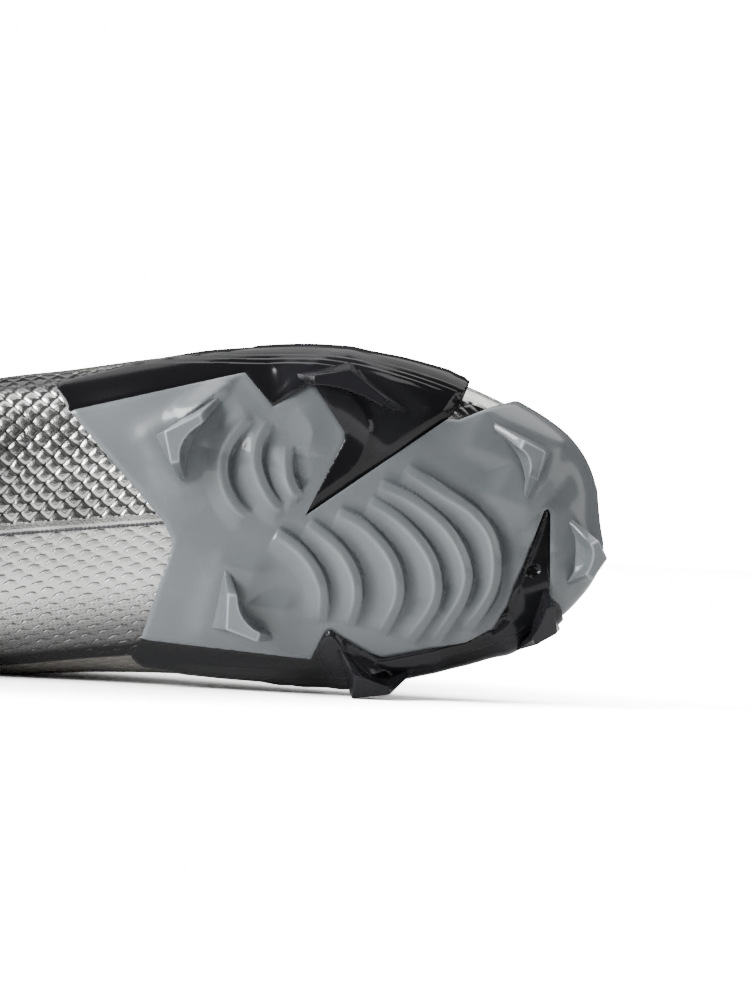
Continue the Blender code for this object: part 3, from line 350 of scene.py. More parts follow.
def bare(places, shares):
    """Points of the upper's outer face: one row of signed shares for each place."""
    points = np.zeros(shares.shape + (3,))
    for k, place in enumerate(places):
        row, known, off, height, _ = section(round(float(place), 7))
        side = np.where(shares[k] >= 0, 1.0, -1.0)
        y = np.interp(abs(shares[k]), known, off)
        z = np.interp(abs(shares[k]), known, height)
        climb = np.maximum(z - row[3], 0.0) / max(row[5], 1e-6)
        behind = (z - row[3]) / (COLLAR_BACK - row[3])
        fade = max(0.0, 1.0 - row[0] / HEEL_WIDTH)
        lean_in = HEEL_CURVE * behind**2 * fade**2 * (3 - 2 * fade) * np.where(behind > 0, 1.0, 0.35)
        points[k, :, 0] = row[0] + lean_in
        points[k, :, 1] = OUTER * (row[2] + side * y + row[8] * climb**1.5)
        points[k, :, 2] = z
    return points


def surface(places, shares, out=0.0):
    """Points moved out from the upper's outer face; out is a number or an array like shares."""
    places = np.asarray(places, float)
    shares = np.asarray(shares, float)
    step, reach = 2e-2, 6e-3
    ahead = bare(np.minimum(places + step, LAST_PLACE), shares) - bare(np.maximum(places - step, 0.0), shares)
    across = bare(places, np.minimum(shares + reach, 1.0)) - bare(places, np.maximum(shares - reach, -1.0))
    normal = np.cross(ahead, across)
    normal[places >= LAST_PLACE - 1e-6] = (1.0, 0.0, 0.0)
    normal[places <= 1e-6] = (-1.0, 0.0, 0.0)
    normal /= np.maximum(np.linalg.norm(normal, axis=-1, keepdims=True), 1e-12)
    return bare(places, shares) + normal * (np.ones(shares.shape) * out)[..., None]


def spot(place, share, out=0.0):
    """One point of the surface, as a vector."""
    return Vector(surface([place], [[share]], out)[0, 0])


def smooth_curve(points, per=12):
    """A smooth line through points, as an array; the ends are doubled to shape them."""
    rows = np.array([points[0], *points, points[-1]], float)
    count = (len(points) - 1) * per
    return np.array([catmull(rows, k / per) for k in range(count + 1)])


COLLAR_LINE = smooth_curve([(at * THROAT_TOP, height) for at, height in COLLAR])


def throat_half_gap(along):
    """Half the throat's width, with a round front end; negative outside it."""
    ahead = THROAT_FRONT - along
    if ahead <= 0 or along < 0.6 * THROAT_TOP:
        return -1.0
    wide = THROAT_END_GAP + (THROAT_GAP - THROAT_END_GAP) * min(1.0, ahead / (THROAT_FRONT - THROAT_TOP))
    end = max(0.0, 1.0 - ahead / THROAT_END_RADIUS)
    return 0.5 * wide * math.sqrt(max(0.0, 1.0 - end**2))


@lru_cache(maxsize=None)
def edge_share(place):
    """The share of the half girth where the upper ends, at collar or throat; 1 where it is closed."""
    row, shares, off, height, _ = section(place)
    above = height - np.interp(row[0], COLLAR_LINE[:, 0], COLLAR_LINE[:, 1])
    past = np.maximum(above, throat_half_gap(row[0]) - off)
    past[:DENSE] = -1.0
    outside = np.nonzero(past > 0)[0]
    if len(outside) == 0:
        return 1.0
    k = outside[0]
    return float(np.interp(0.0, past[k - 1 : k + 1], shares[k - 1 : k + 1]))


def widest_share(place):
    return float(section(round(float(place), 7))[1][DENSE - 1])


def girth_at(place):
    """The half girth at a place."""
    return section(round(float(place), 7))[4]


def from_ends(count):
    """For each of a number of rows, how many rows lie between it and the nearer end, as a column."""
    rows = np.arange(count)
    return np.minimum(rows, rows[::-1])[:, None]


def scaled(colour, factor):
    return tuple(factor * c for c in colour)


def along_of(place):
    return float(np.interp(place, PLACES, ALONG))


def laid(points):
    """Points of the last's frame in the lying shoe's frame."""
    return np.asarray(points, float) @ TURN.T + SHIFT


def object_of(name, mesh, materials=()):
    """A mesh object made of a bmesh, in the scene."""
    data = bpy.data.meshes.new(name)
    mesh.to_mesh(data)
    mesh.free()
    piece = bpy.data.objects.new(name, data)
    bpy.context.scene.collection.objects.link(piece)
    for material in materials:
        data.materials.append(material)
    return piece


def shell(name, outer, inner, flat=None, dropped=None, materials=(), slot_of=None):
    """A wall between two grids of points in the last's frame, with its own flat coordinates.

    flat gives each grid point's UV, dropped(row, column) the faces left open, slot_of(column, is_outer) the
    material of a face.
    """
    rows, columns = outer.shape[0] - 1, outer.shape[1] - 1
    mesh = bmesh.new()
    bmesh.ops.create_grid(mesh, x_segments=rows, y_segments=columns, size=0.5)
    row_of = mesh.verts.layers.int.new("row")
    column_of = mesh.verts.layers.int.new("column")
    uv = mesh.loops.layers.uv.new("flat")
    laid_outer, laid_inner = laid(outer), laid(inner)
    for vert in mesh.verts:
        k, m = round((vert.co.x + 0.5) * rows), round((vert.co.y + 0.5) * columns)
        vert[row_of], vert[column_of] = k, m
        vert.co = laid_outer[k, m]
    gone = []
    for face in mesh.faces:
        k = min(vert[row_of] for vert in face.verts)
        m = min(vert[column_of] for vert in face.verts)
        if dropped and dropped(k, m):
            gone.append(face)
            continue
        if flat is not None:
            for loop in face.loops:
                loop[uv].uv = flat[loop.vert[row_of], loop.vert[column_of]]
        if slot_of:
            face.material_index = slot_of(m, True)
    bmesh.ops.delete(mesh, geom=gone, context="FACES")
    bmesh.ops.remove_doubles(mesh, verts=mesh.verts, dist=1e-5)
    made = bmesh.ops.extrude_face_region(mesh, geom=mesh.faces[:])
    for item in made["geom"]:
        if isinstance(item, bmesh.types.BMVert):
            item.co = laid_inner[item[row_of], item[column_of]]
        elif slot_of and isinstance(item, bmesh.types.BMFace):
            m = min(vert[column_of] for vert in item.verts)
            item.material_index = slot_of(m, False)
    bmesh.ops.recalc_face_normals(mesh, faces=mesh.faces)
    return object_of(name, mesh, materials)


def smooth(piece, angle=35):
    piece.data.shade_smooth()
    piece.data.set_sharp_from_angle(angle=math.radians(angle))
    return piece


def baked(piece):
    """The piece with its modifiers applied."""
    bpy.context.view_layer.update()
    graph = bpy.context.evaluated_depsgraph_get()
    data = bpy.data.meshes.new_from_object(piece.evaluated_get(graph))
    piece.modifiers.clear()
    old, piece.data = piece.data, data
    bpy.data.meshes.remove(old)
    return piece


def combined(piece, others, operation, solver="MANIFOLD"):
    """The piece after one Boolean with each of the others, which are removed."""
    for other in others:
        modifier = piece.modifiers.new("combine", "BOOLEAN")
        modifier.operation = operation
        modifier.object = other
        modifier.solver = solver
        baked(piece)
    for other in others:
        bpy.data.objects.remove(other)
    return piece


def on_plan(point):
    """A plan point in metres, from the outlines' shares: along, and across to the outer side."""
    return point[0] * LENGTH, point[1] * BALL_WIDTH


def grown(outline, by):
    """The outline in metres with each side moved out by a distance."""
    points = [Vector(on_plan(point)) for point in outline]
    turning = sum(a.x * b.y - b.x * a.y for a, b in zip(points, points[1:] + points[:1]))
    side = 1.0 if turning > 0 else -1.0
    moved = []
    for k, point in enumerate(points):
        before = (point - points[k - 1]).normalized()
        after = (points[(k + 1) % len(points)] - point).normalized()
        out_before = Vector((before.y, -before.x)) * side
        out_after = Vector((after.y, -after.x)) * side
        bisector = (out_before + out_after).normalized()
        moved.append(point + bisector * by / max(bisector.dot(out_after), 0.2))
    return moved


def rounded(outline, radii):
    """The outline with some corners drawn round: radii gives a corner's reach along both sides."""
    points = []
    for k, point in enumerate(outline):
        if k not in radii:
            points.append(point)
            continue
        here = Vector(on_plan(point))
        legs = []
        for other in (outline[k - 1], outline[(k + 1) % len(outline)]):
            away = Vector(on_plan(other)) - here
            legs.append(here + away * min(0.49, radii[k] / away.length))
        for f in (0.0, 0.25, 0.5, 0.75, 1.0):
            bent = legs[0] * (1 - f) ** 2 + here * 2 * f * (1 - f) + legs[1] * f**2
            points.append((bent.x / LENGTH, bent.y / BALL_WIDTH))
    return points


def prism(name, outline):
    """A tall block with this plan, square to the sole, to cut the sole pieces with."""
    mesh = bmesh.new()
    corners = [mesh.verts.new((x, OUTER * across, -0.06)) for x, across in outline]
    face = mesh.faces.new(corners)
    made = bmesh.ops.extrude_face_region(mesh, geom=[face])
    risen = [item for item in made["geom"] if isinstance(item, bmesh.types.BMVert)]
    bmesh.ops.translate(mesh, verts=risen, vec=(0, 0, 0.12))
    bmesh.ops.recalc_face_normals(mesh, faces=mesh.faces)
    bmesh.ops.triangulate(mesh, faces=mesh.faces)
    bmesh.ops.transform(mesh, matrix=LYING, verts=mesh.verts)
    return object_of(name, mesh)


def from_outline(x, across, outline):
    """Distances of plan points from an outline's sides, positive inside it."""
    points = [on_plan(point) for point in outline]
    inside = np.zeros(x.shape, bool)
    nearest = np.ones(x.shape)
    for (ax, ay), (bx, by) in zip(points, points[1:] + points[:1]):
        dx, dy = bx - ax, by - ay
        f = np.clip(((x - ax) * dx + (across - ay) * dy) / (dx * dx + dy * dy), 0, 1)
        nearest = np.minimum(nearest, np.hypot(x - ax - f * dx, across - ay - f * dy))
        if dy:
            inside ^= ((ay > across) != (by > across)) & (x < dx * (across - ay) / dy + ax)
    return np.where(inside, nearest, -nearest)


def from_line(x, across, line):
    """Distance of plan points from a line, + on the toe's side, and the share of the line nearest to them."""
    nearest = np.full(x.shape, 1.0)
    side = np.ones(x.shape)
    where = np.zeros(x.shape)
    count = len(line) - 1
    for k in range(count):
        (ax, ay), (bx, by) = line[k], line[k + 1]
        dx, dy = bx - ax, by - ay
        f = np.clip(((x - ax) * dx + (across - ay) * dy) / (dx * dx + dy * dy), 0, 1)
        distance = np.hypot(x - ax - f * dx, across - ay - f * dy)
        closer = distance < nearest
        nearest = np.where(closer, distance, nearest)
        side = np.where(closer, np.sign((x - ax) * -dy + (across - ay) * dx), side)
        where = np.where(closer, (k + f) / count, where)
    return nearest * side, where


def eased(value):
    """A smooth step from 0 to 1."""
    value = np.clip(value, 0, 1)
    return value * value * (3 - 2 * value)


def plan_line(points):
    """A smooth line in metres through plan points in the outlines' shares."""
    return smooth_curve([on_plan(point) for point in points], 6)


def rib_form(x, across, sizes):
    """How far plan points lie up the ribs, down the troughs behind them, and on the crests; 0 to 1."""
    raised, sunk, crest = np.zeros(x.shape), np.zeros(x.shape), np.zeros(x.shape)
    for rib in RIBS:
        line = plan_line(rib)
        distance, where = from_line(x, across, line)
        distance = distance if line[0][1] > line[-1][1] else -distance
        taper = np.clip(np.sin(math.pi * np.clip(where, 0, 1)), 0, 1) ** 0.6
        back = np.clip(1 + distance / sizes.rib_back, 0, 1)
        back = back * back * (2 - back)
        past = distance - sizes.rib_face
        foot = 0.5 * np.clip(1 - past / (0.6 * MM), 0, 1)
        face = np.where(past < 0, 1 - 0.5 * distance / sizes.rib_face, foot)
        raised = np.maximum(raised, taper * np.where(distance < 0, back, face))
        trough = eased((past + 0.3 * MM) / (0.6 * MM)) * (1 - eased((past - 0.6 * MM) / (5.0 * MM)))
        sunk = np.maximum(sunk, taper * np.where(distance < 0, 0, trough))
        # crest marks a thin line along each rib's crest; it only feeds the plate's painted highlight
        crest = np.maximum(crest, taper * np.exp(-((distance / (0.42 * MM)) ** 2)))
    return raised, sunk, crest


def rib_relief(x, across, sizes):
    """Fins with a soft back towards the heel and a steeper face with a trough towards the toe."""
    raised, sunk, _ = rib_form(x, across, sizes)
    return sizes.rib_rise * (raised - 0.25 * sunk * (1 - raised))


def stud_relief(x, across, names, sizes):
    """Soft swellings round the studs' feet."""
    swell = np.zeros(x.shape)
    for name in names:
        base = chevron(*STUDS[name][1])
        outline = [(point.x / LENGTH, point.y / BALL_WIDTH) for point in base]
        away = -from_outline(x, across, outline)
        swell = np.maximum(swell, np.exp(-((np.maximum(away, 0) / sizes.swell_reach) ** 2)))
    return sizes.swell_rise * swell


def fold_relief(x, across, folds):
    """Moulded folds: a sharp crest along each line, with a reach on its heel side and on its toe side."""
    lift = np.zeros(x.shape)
    for points, rise, reach_heel, reach_toe in folds:
        line = plan_line(points)
        distance, where = from_line(x, across, line)
        distance = distance if line[0][1] > line[-1][1] else -distance
        taper = np.sin(math.pi * np.clip(0.06 + 0.88 * where, 0, 1)) ** 0.6
        reach = np.where(distance < 0, reach_heel, reach_toe)
        fold = rise * taper * np.clip(1 - abs(distance) / reach, 0, 1) ** 1.4
        lift = np.where(abs(fold) > abs(lift), fold, lift)
    return lift


def dimple_relief(x, across):
    """Small moulded hollows, each along a short line."""
    lift = np.zeros(x.shape)
    for first, last, radius in DIMPLES:
        distance, _ = from_line(x, across, [on_plan(first), on_plan(last)])
        lift -= 1.1 * MM * (1 - eased((abs(distance) - radius + 0.7 * MM) / (0.9 * MM)))
    return lift


def shoulder(distance, reach, drop):
    """A rounded fall towards an edge."""
    f = np.clip(1 - distance / reach, 0, 1)
    return -drop * (1 - np.sqrt(np.clip(1 - f * f, 0, 1)))


def terraces(rim, ledges):
    """Steps down towards a moulded rim: each ledge is its distance from the rim and its drop."""
    lift = np.zeros(rim.shape)
    for distance, drop in ledges:
        lift -= drop * (1 - eased((rim - distance) / (0.45 * MM)))
    return lift


def chevron(along, across, angle_a, length_a, angle_b, length_b, width):
    """A chevron's plan points: corner, arm a outside and inside, inner corner, arm b inside and outside."""
    corner = Vector(on_plan((along, across)))
    a = Vector((math.cos(math.radians(angle_a)), math.sin(math.radians(angle_a))))
    b = Vector((math.cos(math.radians(angle_b)), math.sin(math.radians(angle_b))))
    opening = math.acos(max(-1.0, min(1.0, a.dot(b))))
    inner = corner + (a + b).normalized() * width / math.sin(opening / 2)
    inside_a = (b - a * a.dot(b)).normalized() * width
    inside_b = (a - b * a.dot(b)).normalized() * width
    end_a, end_b = corner + a * length_a, corner + b * length_b
    return [corner, end_a, end_a + inside_a, inner, end_b + inside_b, end_b]


def under_sole(x, across, out):
    """The point under the sole below a plan point, moved out from the upper."""
    place = place_at(min(max(x, ALONG[1]), ALONG[-2]))
    row, shares, off, _, _ = section(place)
    offset = across - row[2]
    share = float(np.interp(abs(offset), off[:DENSE], shares[:DENSE]))
    return spot(place, math.copysign(min(share, 0.985 * shares[DENSE - 1]), offset), out)


def scooped(points, count, depth):
    """A chevron's outline with its inner corner drawn as a curve from arm to arm, of a share of its depth."""
    corner, end_a, in_a, inner, in_b, end_b = points
    inner = ((in_a + in_b) / 2).lerp(inner, depth)
    curve = []
    for k in range(1, count):
        f = k / count
        curve.append(in_a * (1 - f) ** 2 + inner * 2 * f * (1 - f) + in_b * f**2)
    return [corner, end_a, in_a, *curve, in_b, end_b]


def blade(name, height, sizes, material):
    """A stud: a chevron blade that flares into the plate, with a flat tip and eased edges."""
    depth = SCOOPS.get(name, SCOOP)
    tip = scooped(chevron(*STUDS[name][0]), 6, depth)
    corner, end_a, in_a, inner, in_b, end_b = chevron(*STUDS[name][1][:6], BASE_NARROWING * STUDS[name][1][6])
    in_a, in_b = in_a.lerp(end_a, POINTED), in_b.lerp(end_b, POINTED)
    base = scooped([corner, end_a, in_a, inner, in_b, end_b], 6, 0.85 * depth)
    flares = [1.7, sizes.arm_flare, 1.2 * sizes.arm_flare] + 5 * [sizes.stud_flare]
    flares += [1.2 * sizes.arm_flare, sizes.arm_flare]
    middle = sum(base, Vector((0.0, 0.0))) / len(base)
    foot = under_sole(middle.x, middle.y, CLEARANCE + PLATE)
    axis = (under_sole(middle.x, middle.y, CLEARANCE + PLATE + height) - foot).normalized()
    top = foot + axis * height
    levels = 9
    mesh = bmesh.new()
    rings = []
    for level in range(levels + 1):
        f = level / levels
        ring = []
        for low, high, flare in zip(base, tip, flares):
            point = low.lerp(high, 1 - (1 - f) ** flare)
            ground = under_sole(point.x, point.y, CLEARANCE + 0.5 * PLATE).z
            summit = top.z - (axis.x * (point.x - top.x) + axis.y * (OUTER * point.y - top.y)) / axis.z
            ring.append(mesh.verts.new((point.x, OUTER * point.y, ground + (summit - ground) * f)))
        rings.append(ring)
    count = len(base)
    sides = []
    for low, high in zip(rings, rings[1:]):
        for k in range(count):
            after = (k + 1) % count
            sides.append(mesh.faces.new((low[k], low[after], high[after], high[k])))
    cap = mesh.faces.new(rings[-1])
    mesh.faces.new(rings[0])
    bmesh.ops.recalc_face_normals(mesh, faces=mesh.faces)
    edges = {edge for edge in cap.edges}
    for k in (0, 1, 2, count - 2, count - 1):
        for low, high in zip(rings, rings[1:]):
            edges.add(mesh.edges.get((low[k], high[k])))
    bmesh.ops.bevel(
        mesh,
        geom=list(edges),
        offset=sizes.edge_round,
        segments=2,
        profile=0.5,
        affect="EDGES",
        material=-1,
        clamp_overlap=True,
    )
    mesh.normal_update()
    tops = [face for face in mesh.faces if face.normal.dot(axis) > 0.98 and face.calc_area() > 8 * MM * MM]
    bmesh.ops.inset_region(mesh, faces=tops, thickness=0.3 * MM, use_even_offset=True)
    bmesh.ops.transform(mesh, matrix=LYING, verts=mesh.verts)
    bmesh.ops.triangulate(mesh, faces=mesh.faces)
    return smooth(object_of("blade_" + name, mesh, [material]), 28)


def spread(first, last, count, dense=None, share=0.7):
    """Places from one distance along to another, closer together in the dense stretch."""
    if dense is None:
        return [place_at(x) for x in np.linspace(first, last, count)]
    few = int(count * (1 - share))
    before = int(few * (dense[0] - first) / max(dense[0] - first + last - dense[1], 1e-9))
    line = np.concatenate(
        [
            np.linspace(first, dense[0], max(before, 1), endpoint=False),
            np.linspace(dense[0], dense[1], count - few, endpoint=False),
            np.linspace(dense[1], last, max(few - before, 2)),
        ]
    )
    return [place_at(x) for x in line]


def sole_sheet(name, places, columns, relief, material):
    """A moulded layer under the upper, whose outer face follows relief(x, across, rim).

    columns are shares of the way from the middle line to the widest line, + on the outer side.
    """
    places = np.array(places)
    widest = np.array([widest_share(place) for place in places])
    shares = widest[:, None] * np.array(columns)[None, :]
    girths = np.array([girth_at(place) for place in places])
    plain = surface(places, shares, CLEARANCE + PLATE)
    rim = (widest[:, None] - abs(shares)) * girths[:, None]
    lift = relief(plain[..., 0], OUTER * plain[..., 1], rim)
    outer = surface(places, shares, CLEARANCE + PLATE + lift)
    inner = surface(places, shares, CLEARANCE)
    return shell(name, outer, inner, materials=[material])


def paint_light_and_tone(piece, painted_light_and_tone, studs=(), height=1.0):
    """Gives each point of a piece a colour level from its place on the plan, on the plates and frames painted
    light; studs get painted shade on their sides and painted highlights round their tips.
    """
    data = piece.data
    places = np.empty(len(data.vertices) * 3)
    data.vertices.foreach_get("co", places)
    points = (places.reshape(-1, 3) - SHIFT) @ TURN
    values = np.array(painted_light_and_tone(points[:, 0], OUTER * points[:, 1]), float)
    for name in studs:
        base = chevron(*STUDS[name][1])
        middle = sum(base, Vector((0.0, 0.0))) / len(base)
        foot = under_sole(middle.x, middle.y, CLEARANCE + PLATE)
        axis = (under_sole(middle.x, middle.y, CLEARANCE + PLATE + height) - foot).normalized()
        risen = (points - np.array(foot)) @ np.array(axis) / height
        near = np.hypot(points[:, 0] - middle.x, OUTER * points[:, 1] - middle.y) < 26 * MM
        side = near & (risen > STUD_FOOT)
        tip = scooped(chevron(*STUDS[name][0]), 6, SCOOPS.get(name, SCOOP))
        outline = [(point.x / LENGTH, point.y / BALL_WIDTH) for point in tip]
        within = from_outline(points[:, 0], OUTER * points[:, 1], outline)
        # Painted light on the studs: painted shade on their sides, darker towards the foot, and a painted
        # highlight round the rim of each tip.
        top = np.where(within[side] < 0.58 * MM, 1.0, 0.5)
        values[side] = np.where(risen[side] > STUD_TIP, top, 0.26 + 0.16 * risen[side])
    layer = data.attributes.new("painted_light_and_tone", "FLOAT", "POINT")
    layer.data.foreach_set("value", np.asarray(values, np.float32))


def sweep(name, centres, sides, profile, materials=(), closed=False):
    """A bar of one profile along a path in the last's frame; profile(f) gives its points across and up."""
    rows, around = len(centres), len(profile(0.0))
    centres, sides = np.asarray(centres, float), np.asarray(sides, float)
    if closed:
        ahead = np.roll(centres, -1, axis=0) - np.roll(centres, 1, axis=0)
    else:
        ahead = np.gradient(centres, axis=0)
    ahead /= np.maximum(np.linalg.norm(ahead, axis=1, keepdims=True), 1e-12)
    sides = sides - ahead * (sides * ahead).sum(axis=1, keepdims=True)
    sides /= np.maximum(np.linalg.norm(sides, axis=1, keepdims=True), 1e-12)
    ups = np.cross(sides, ahead)
    run = np.concatenate([[0.0], np.cumsum(np.linalg.norm(np.diff(centres, axis=0), axis=1))])
    grid = np.zeros((rows, around + 1, 3))
    flat = np.zeros((rows, around + 1, 2))
    for k in range(rows):
        points = np.array(profile(k / (rows - 1)))
        points = np.vstack([points, points[:1]])
        grid[k] = centres[k] + points[:, :1] * sides[k] + points[:, 1:] * ups[k]
        girth = np.concatenate([[0.0], np.cumsum(np.linalg.norm(np.diff(points, axis=0), axis=1))])
        flat[k, :, 0] = run[k]
        flat[k, :, 1] = girth
    if closed:
        grid = np.concatenate([grid, grid[:1]])
        flat = np.concatenate([flat, flat[-1:] + (run[1], 0.0)])
    mesh = bmesh.new()
    lines, columns = grid.shape[0] - 1, grid.shape[1] - 1
    uv = mesh.loops.layers.uv.new("flat")
    bmesh.ops.create_grid(mesh, x_segments=lines, y_segments=columns, size=0.5)
    laid_grid = laid(grid)
    for face in mesh.faces:
        for loop in face.loops:
            k = round((loop.vert.co.x + 0.5) * lines)
            m = round((loop.vert.co.y + 0.5) * columns)
            loop[uv].uv = flat[k, m]
    for vert in mesh.verts:
        vert.co = laid_grid[round((vert.co.x + 0.5) * lines), round((vert.co.y + 0.5) * columns)]
    bmesh.ops.remove_doubles(mesh, verts=mesh.verts, dist=2e-6)
    bmesh.ops.holes_fill(mesh, edges=mesh.edges)
    bmesh.ops.recalc_face_normals(mesh, faces=mesh.faces)
    return object_of(name, mesh, materials)


def oval(width, height, count=12, power=2.0):
    """Points round a superellipse of this width and height."""
    turn = np.arange(count) * 2 * math.pi / count
    x = np.sign(np.cos(turn)) * abs(np.cos(turn)) ** (2 / power) * width / 2
    y = np.sign(np.sin(turn)) * abs(np.sin(turn)) ** (2 / power) * height / 2
    return np.stack([x, y], axis=1)


def joined(name, pieces):
    """Several mesh objects as one."""
    mesh = bmesh.new()
    for piece in pieces:
        mesh.from_mesh(piece.data)
    materials = list(pieces[0].data.materials)
    for piece in pieces:
        bpy.data.objects.remove(piece)
    return object_of(name, mesh, materials)


def fitted(piece, slot, *nodes):
    """Says what a piece rides on and hides the solids it stands for; slot, the finish it takes, is not used.
    """
    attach(piece, "root")
    if nodes:
        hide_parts(*nodes)
    return piece


def reckoned(tree, operation, *values):
    """The output of a Math node fed with sockets or numbers."""
    node = tree.nodes.new("ShaderNodeMath")
    node.operation = operation
    for socket, value in zip(node.inputs, values):
        if isinstance(value, (int, float)):
            socket.default_value = value
        else:
            tree.links.new(value, socket)
    return node.outputs[0]


def ramped(tree, value, low, high):
    """A smooth step of a socket from 0 at low to 1 at high."""
    node = tree.nodes.new("ShaderNodeMapRange")
    node.interpolation_type = "SMOOTHSTEP"
    node.inputs["From Min"].default_value = low
    node.inputs["From Max"].default_value = high
    tree.links.new(value, node.inputs["Value"])
    return node.outputs["Result"]


def falling(tree, value, low, high):
    """A smooth step of a socket from 1 at low to 0 at high."""
    return reckoned(tree, "SUBTRACT", 1.0, ramped(tree, value, low, high))


def mixed(tree, factor, first, second):
    """Two colours mixed; each is a socket or a colour."""
    node = tree.nodes.new("ShaderNodeMix")
    node.data_type = "RGBA"
    tree.links.new(factor, node.inputs["Factor"])
    for socket, value in ((node.inputs[6], first), (node.inputs[7], second)):
        if isinstance(value, bpy.types.NodeSocket):
            tree.links.new(value, socket)
        else:
            socket.default_value = (*value, 1.0)
    return node.outputs[2]


def noise(tree, vector, scale, detail=3.0):
    node = tree.nodes.new("ShaderNodeTexNoise")
    node.inputs["Scale"].default_value = scale
    node.inputs["Detail"].default_value = detail
    tree.links.new(vector, node.inputs["Vector"])
    return node.outputs["Fac"]


def group_of(name, inputs, outputs):
    """A shader node group with numbers or vectors in and numbers out, made once."""
    if name in bpy.data.node_groups:
        return None, None, None
    tree = bpy.data.node_groups.new(name, "ShaderNodeTree")
    for label, default in inputs:
        kind = "NodeSocketVector" if default is None else "NodeSocketFloat"
        socket = tree.interface.new_socket(label, in_out="INPUT", socket_type=kind)
        if default is not None:
            socket.default_value = default
    for label in outputs:
        tree.interface.new_socket(label, in_out="OUTPUT", socket_type="NodeSocketFloat")
    return tree, tree.nodes.new("NodeGroupInput").outputs, tree.nodes.new("NodeGroupOutput").inputs


def placed_group(tree, name, vector, **values):
    """A node of a group, fed with its vector and its own values."""
    node = tree.nodes.new("ShaderNodeGroup")
    node.node_tree = bpy.data.node_groups[name]
    tree.links.new(vector, node.inputs["Vector"])
    for label, value in values.items():
        node.inputs[label.replace("_", " ")].default_value = value
    return node.outputs


def make_scale_emboss():
    """Rows of small scales, every other row shifted by half a pitch: height, lines between, and arcs."""
    inputs = (("Vector", None), ("Pitch", SCALE_PITCH), ("Row", SCALE_ROW))
    tree, given, made = group_of("scale emboss", inputs, ("Height", "Lines", "Cores", "Arcs"))
    if not tree:
        return
    calc = partial(reckoned, tree)
    split = tree.nodes.new("ShaderNodeSeparateXYZ")
    tree.links.new(given["Vector"], split.inputs[0])
    wobble = calc("MULTIPLY", calc("SUBTRACT", noise(tree, given["Vector"], 160.0), 0.5), 0.34)
    waver = calc("MULTIPLY", calc("SUBTRACT", noise(tree, given["Vector"], 210.0), 0.5), 0.30)
    along = calc("ADD", calc("DIVIDE", split.outputs["X"], given["Pitch"]), wobble)
    two_rows = calc("MULTIPLY", given["Row"], 2.0)
    across = calc("ADD", calc("DIVIDE", split.outputs["Y"], two_rows), waver)
    metrics, arcs = [], []
    for shift in (0.0, 0.5):
        a = calc("SUBTRACT", calc("FRACT", calc("ADD", along, shift)), 0.5)
        b = calc("SUBTRACT", calc("FRACT", calc("ADD", across, shift)), 0.5)
        wide = calc("ABSOLUTE", calc("MULTIPLY", a, 2.0))
        tall = calc("ABSOLUTE", calc("MULTIPLY", b, 2.0))
        metrics.append(calc("ADD", calc("POWER", wide, 1.45), calc("POWER", tall, 1.08)))
        bowed = calc("ADD", calc("MULTIPLY", calc("POWER", wide, 2.0), 0.45), tall)
        ring = calc("ABSOLUTE", calc("SUBTRACT", bowed, 0.62))
        ring = falling(tree, ring, 0.03, 0.12)
        ring = calc("MULTIPLY", ring, falling(tree, wide, 0.5, 0.85))
        arcs.append(calc("MULTIPLY", ring, ramped(tree, b, 0.02, 0.12)))
    nearest = calc("MINIMUM", *metrics)
    tree.links.new(falling(tree, nearest, 0.05, 1.0), made["Height"])
    tree.links.new(ramped(tree, nearest, 0.70, 0.88), made["Lines"])
    core = calc("ABSOLUTE", calc("SUBTRACT", nearest, 0.30))
    tree.links.new(falling(tree, core, 0.05, 0.15), made["Cores"])
    tree.links.new(calc("MAXIMUM", *arcs), made["Arcs"])


def make_moulded_grain():
    """Fine grain of a moulded surface, and slow changes of its gloss."""
    inputs = (("Vector", None), ("Grain", 900.0), ("Patch", 45.0))
    tree, given, made = group_of("moulded grain", inputs, ("Height", "Gloss"))
    if not tree:
        return
    for label, out, detail in (("Grain", "Height", 4.0), ("Patch", "Gloss", 2.0)):
        node = tree.nodes.new("ShaderNodeTexNoise")
        node.inputs["Detail"].default_value = detail
        tree.links.new(given["Vector"], node.inputs["Vector"])
        tree.links.new(given[label], node.inputs["Scale"])
        tree.links.new(node.outputs["Fac"], made[out])


def make_weave():
    """A plain weave on flat coordinates: threads up and down, and the holes between them, which the cloth
    darkens as painted shade.
    """
    tree, given, made = group_of("weave", (("Vector", None), ("Thread", 0.6 * MM)), ("Height", "Hole shade"))
    if not tree:
        return
    calc = partial(reckoned, tree)
    split = tree.nodes.new("ShaderNodeSeparateXYZ")
    tree.links.new(given["Vector"], split.inputs[0])
    waves = []
    for axis in ("X", "Y"):
        turns = calc("DIVIDE", split.outputs[axis], given["Thread"])
        waves.append(calc("SINE", calc("MULTIPLY", turns, math.pi)))
    over = calc("MULTIPLY", waves[0], waves[1])
    threads = calc("ADD", calc("MULTIPLY", over, 0.5), 0.5)
    ridges = calc("MAXIMUM", calc("ABSOLUTE", waves[0]), calc("ABSOLUTE", waves[1]))
    tree.links.new(calc("MULTIPLY", threads, ridges), made["Height"])
    tree.links.new(falling(tree, ridges, 0.15, 0.5), made["Hole shade"])


def material_of(name, roughness, metallic=0.0, coat=0.0, coat_roughness=0.05):
    """A material with its Principled shader: the material, its node tree and the shader."""
    material = bpy.data.materials.new(name)
    material.use_nodes = True
    shader = material.node_tree.nodes["Principled BSDF"]
    shader.inputs["Roughness"].default_value = roughness
    shader.inputs["Metallic"].default_value = metallic
    shader.inputs["Coat Weight"].default_value = coat
    shader.inputs["Coat Roughness"].default_value = coat_roughness
    return material, material.node_tree, shader


def bumped(tree, shader, height, depth):
    """Feeds a height, in shares of a depth in metres, to the shader's normal."""
    node = tree.nodes.new("ShaderNodeBump")
    node.inputs["Strength"].default_value = 1.0
    node.inputs["Distance"].default_value = depth
    tree.links.new(height, node.inputs["Height"])
    tree.links.new(node.outputs["Normal"], shader.inputs["Normal"])


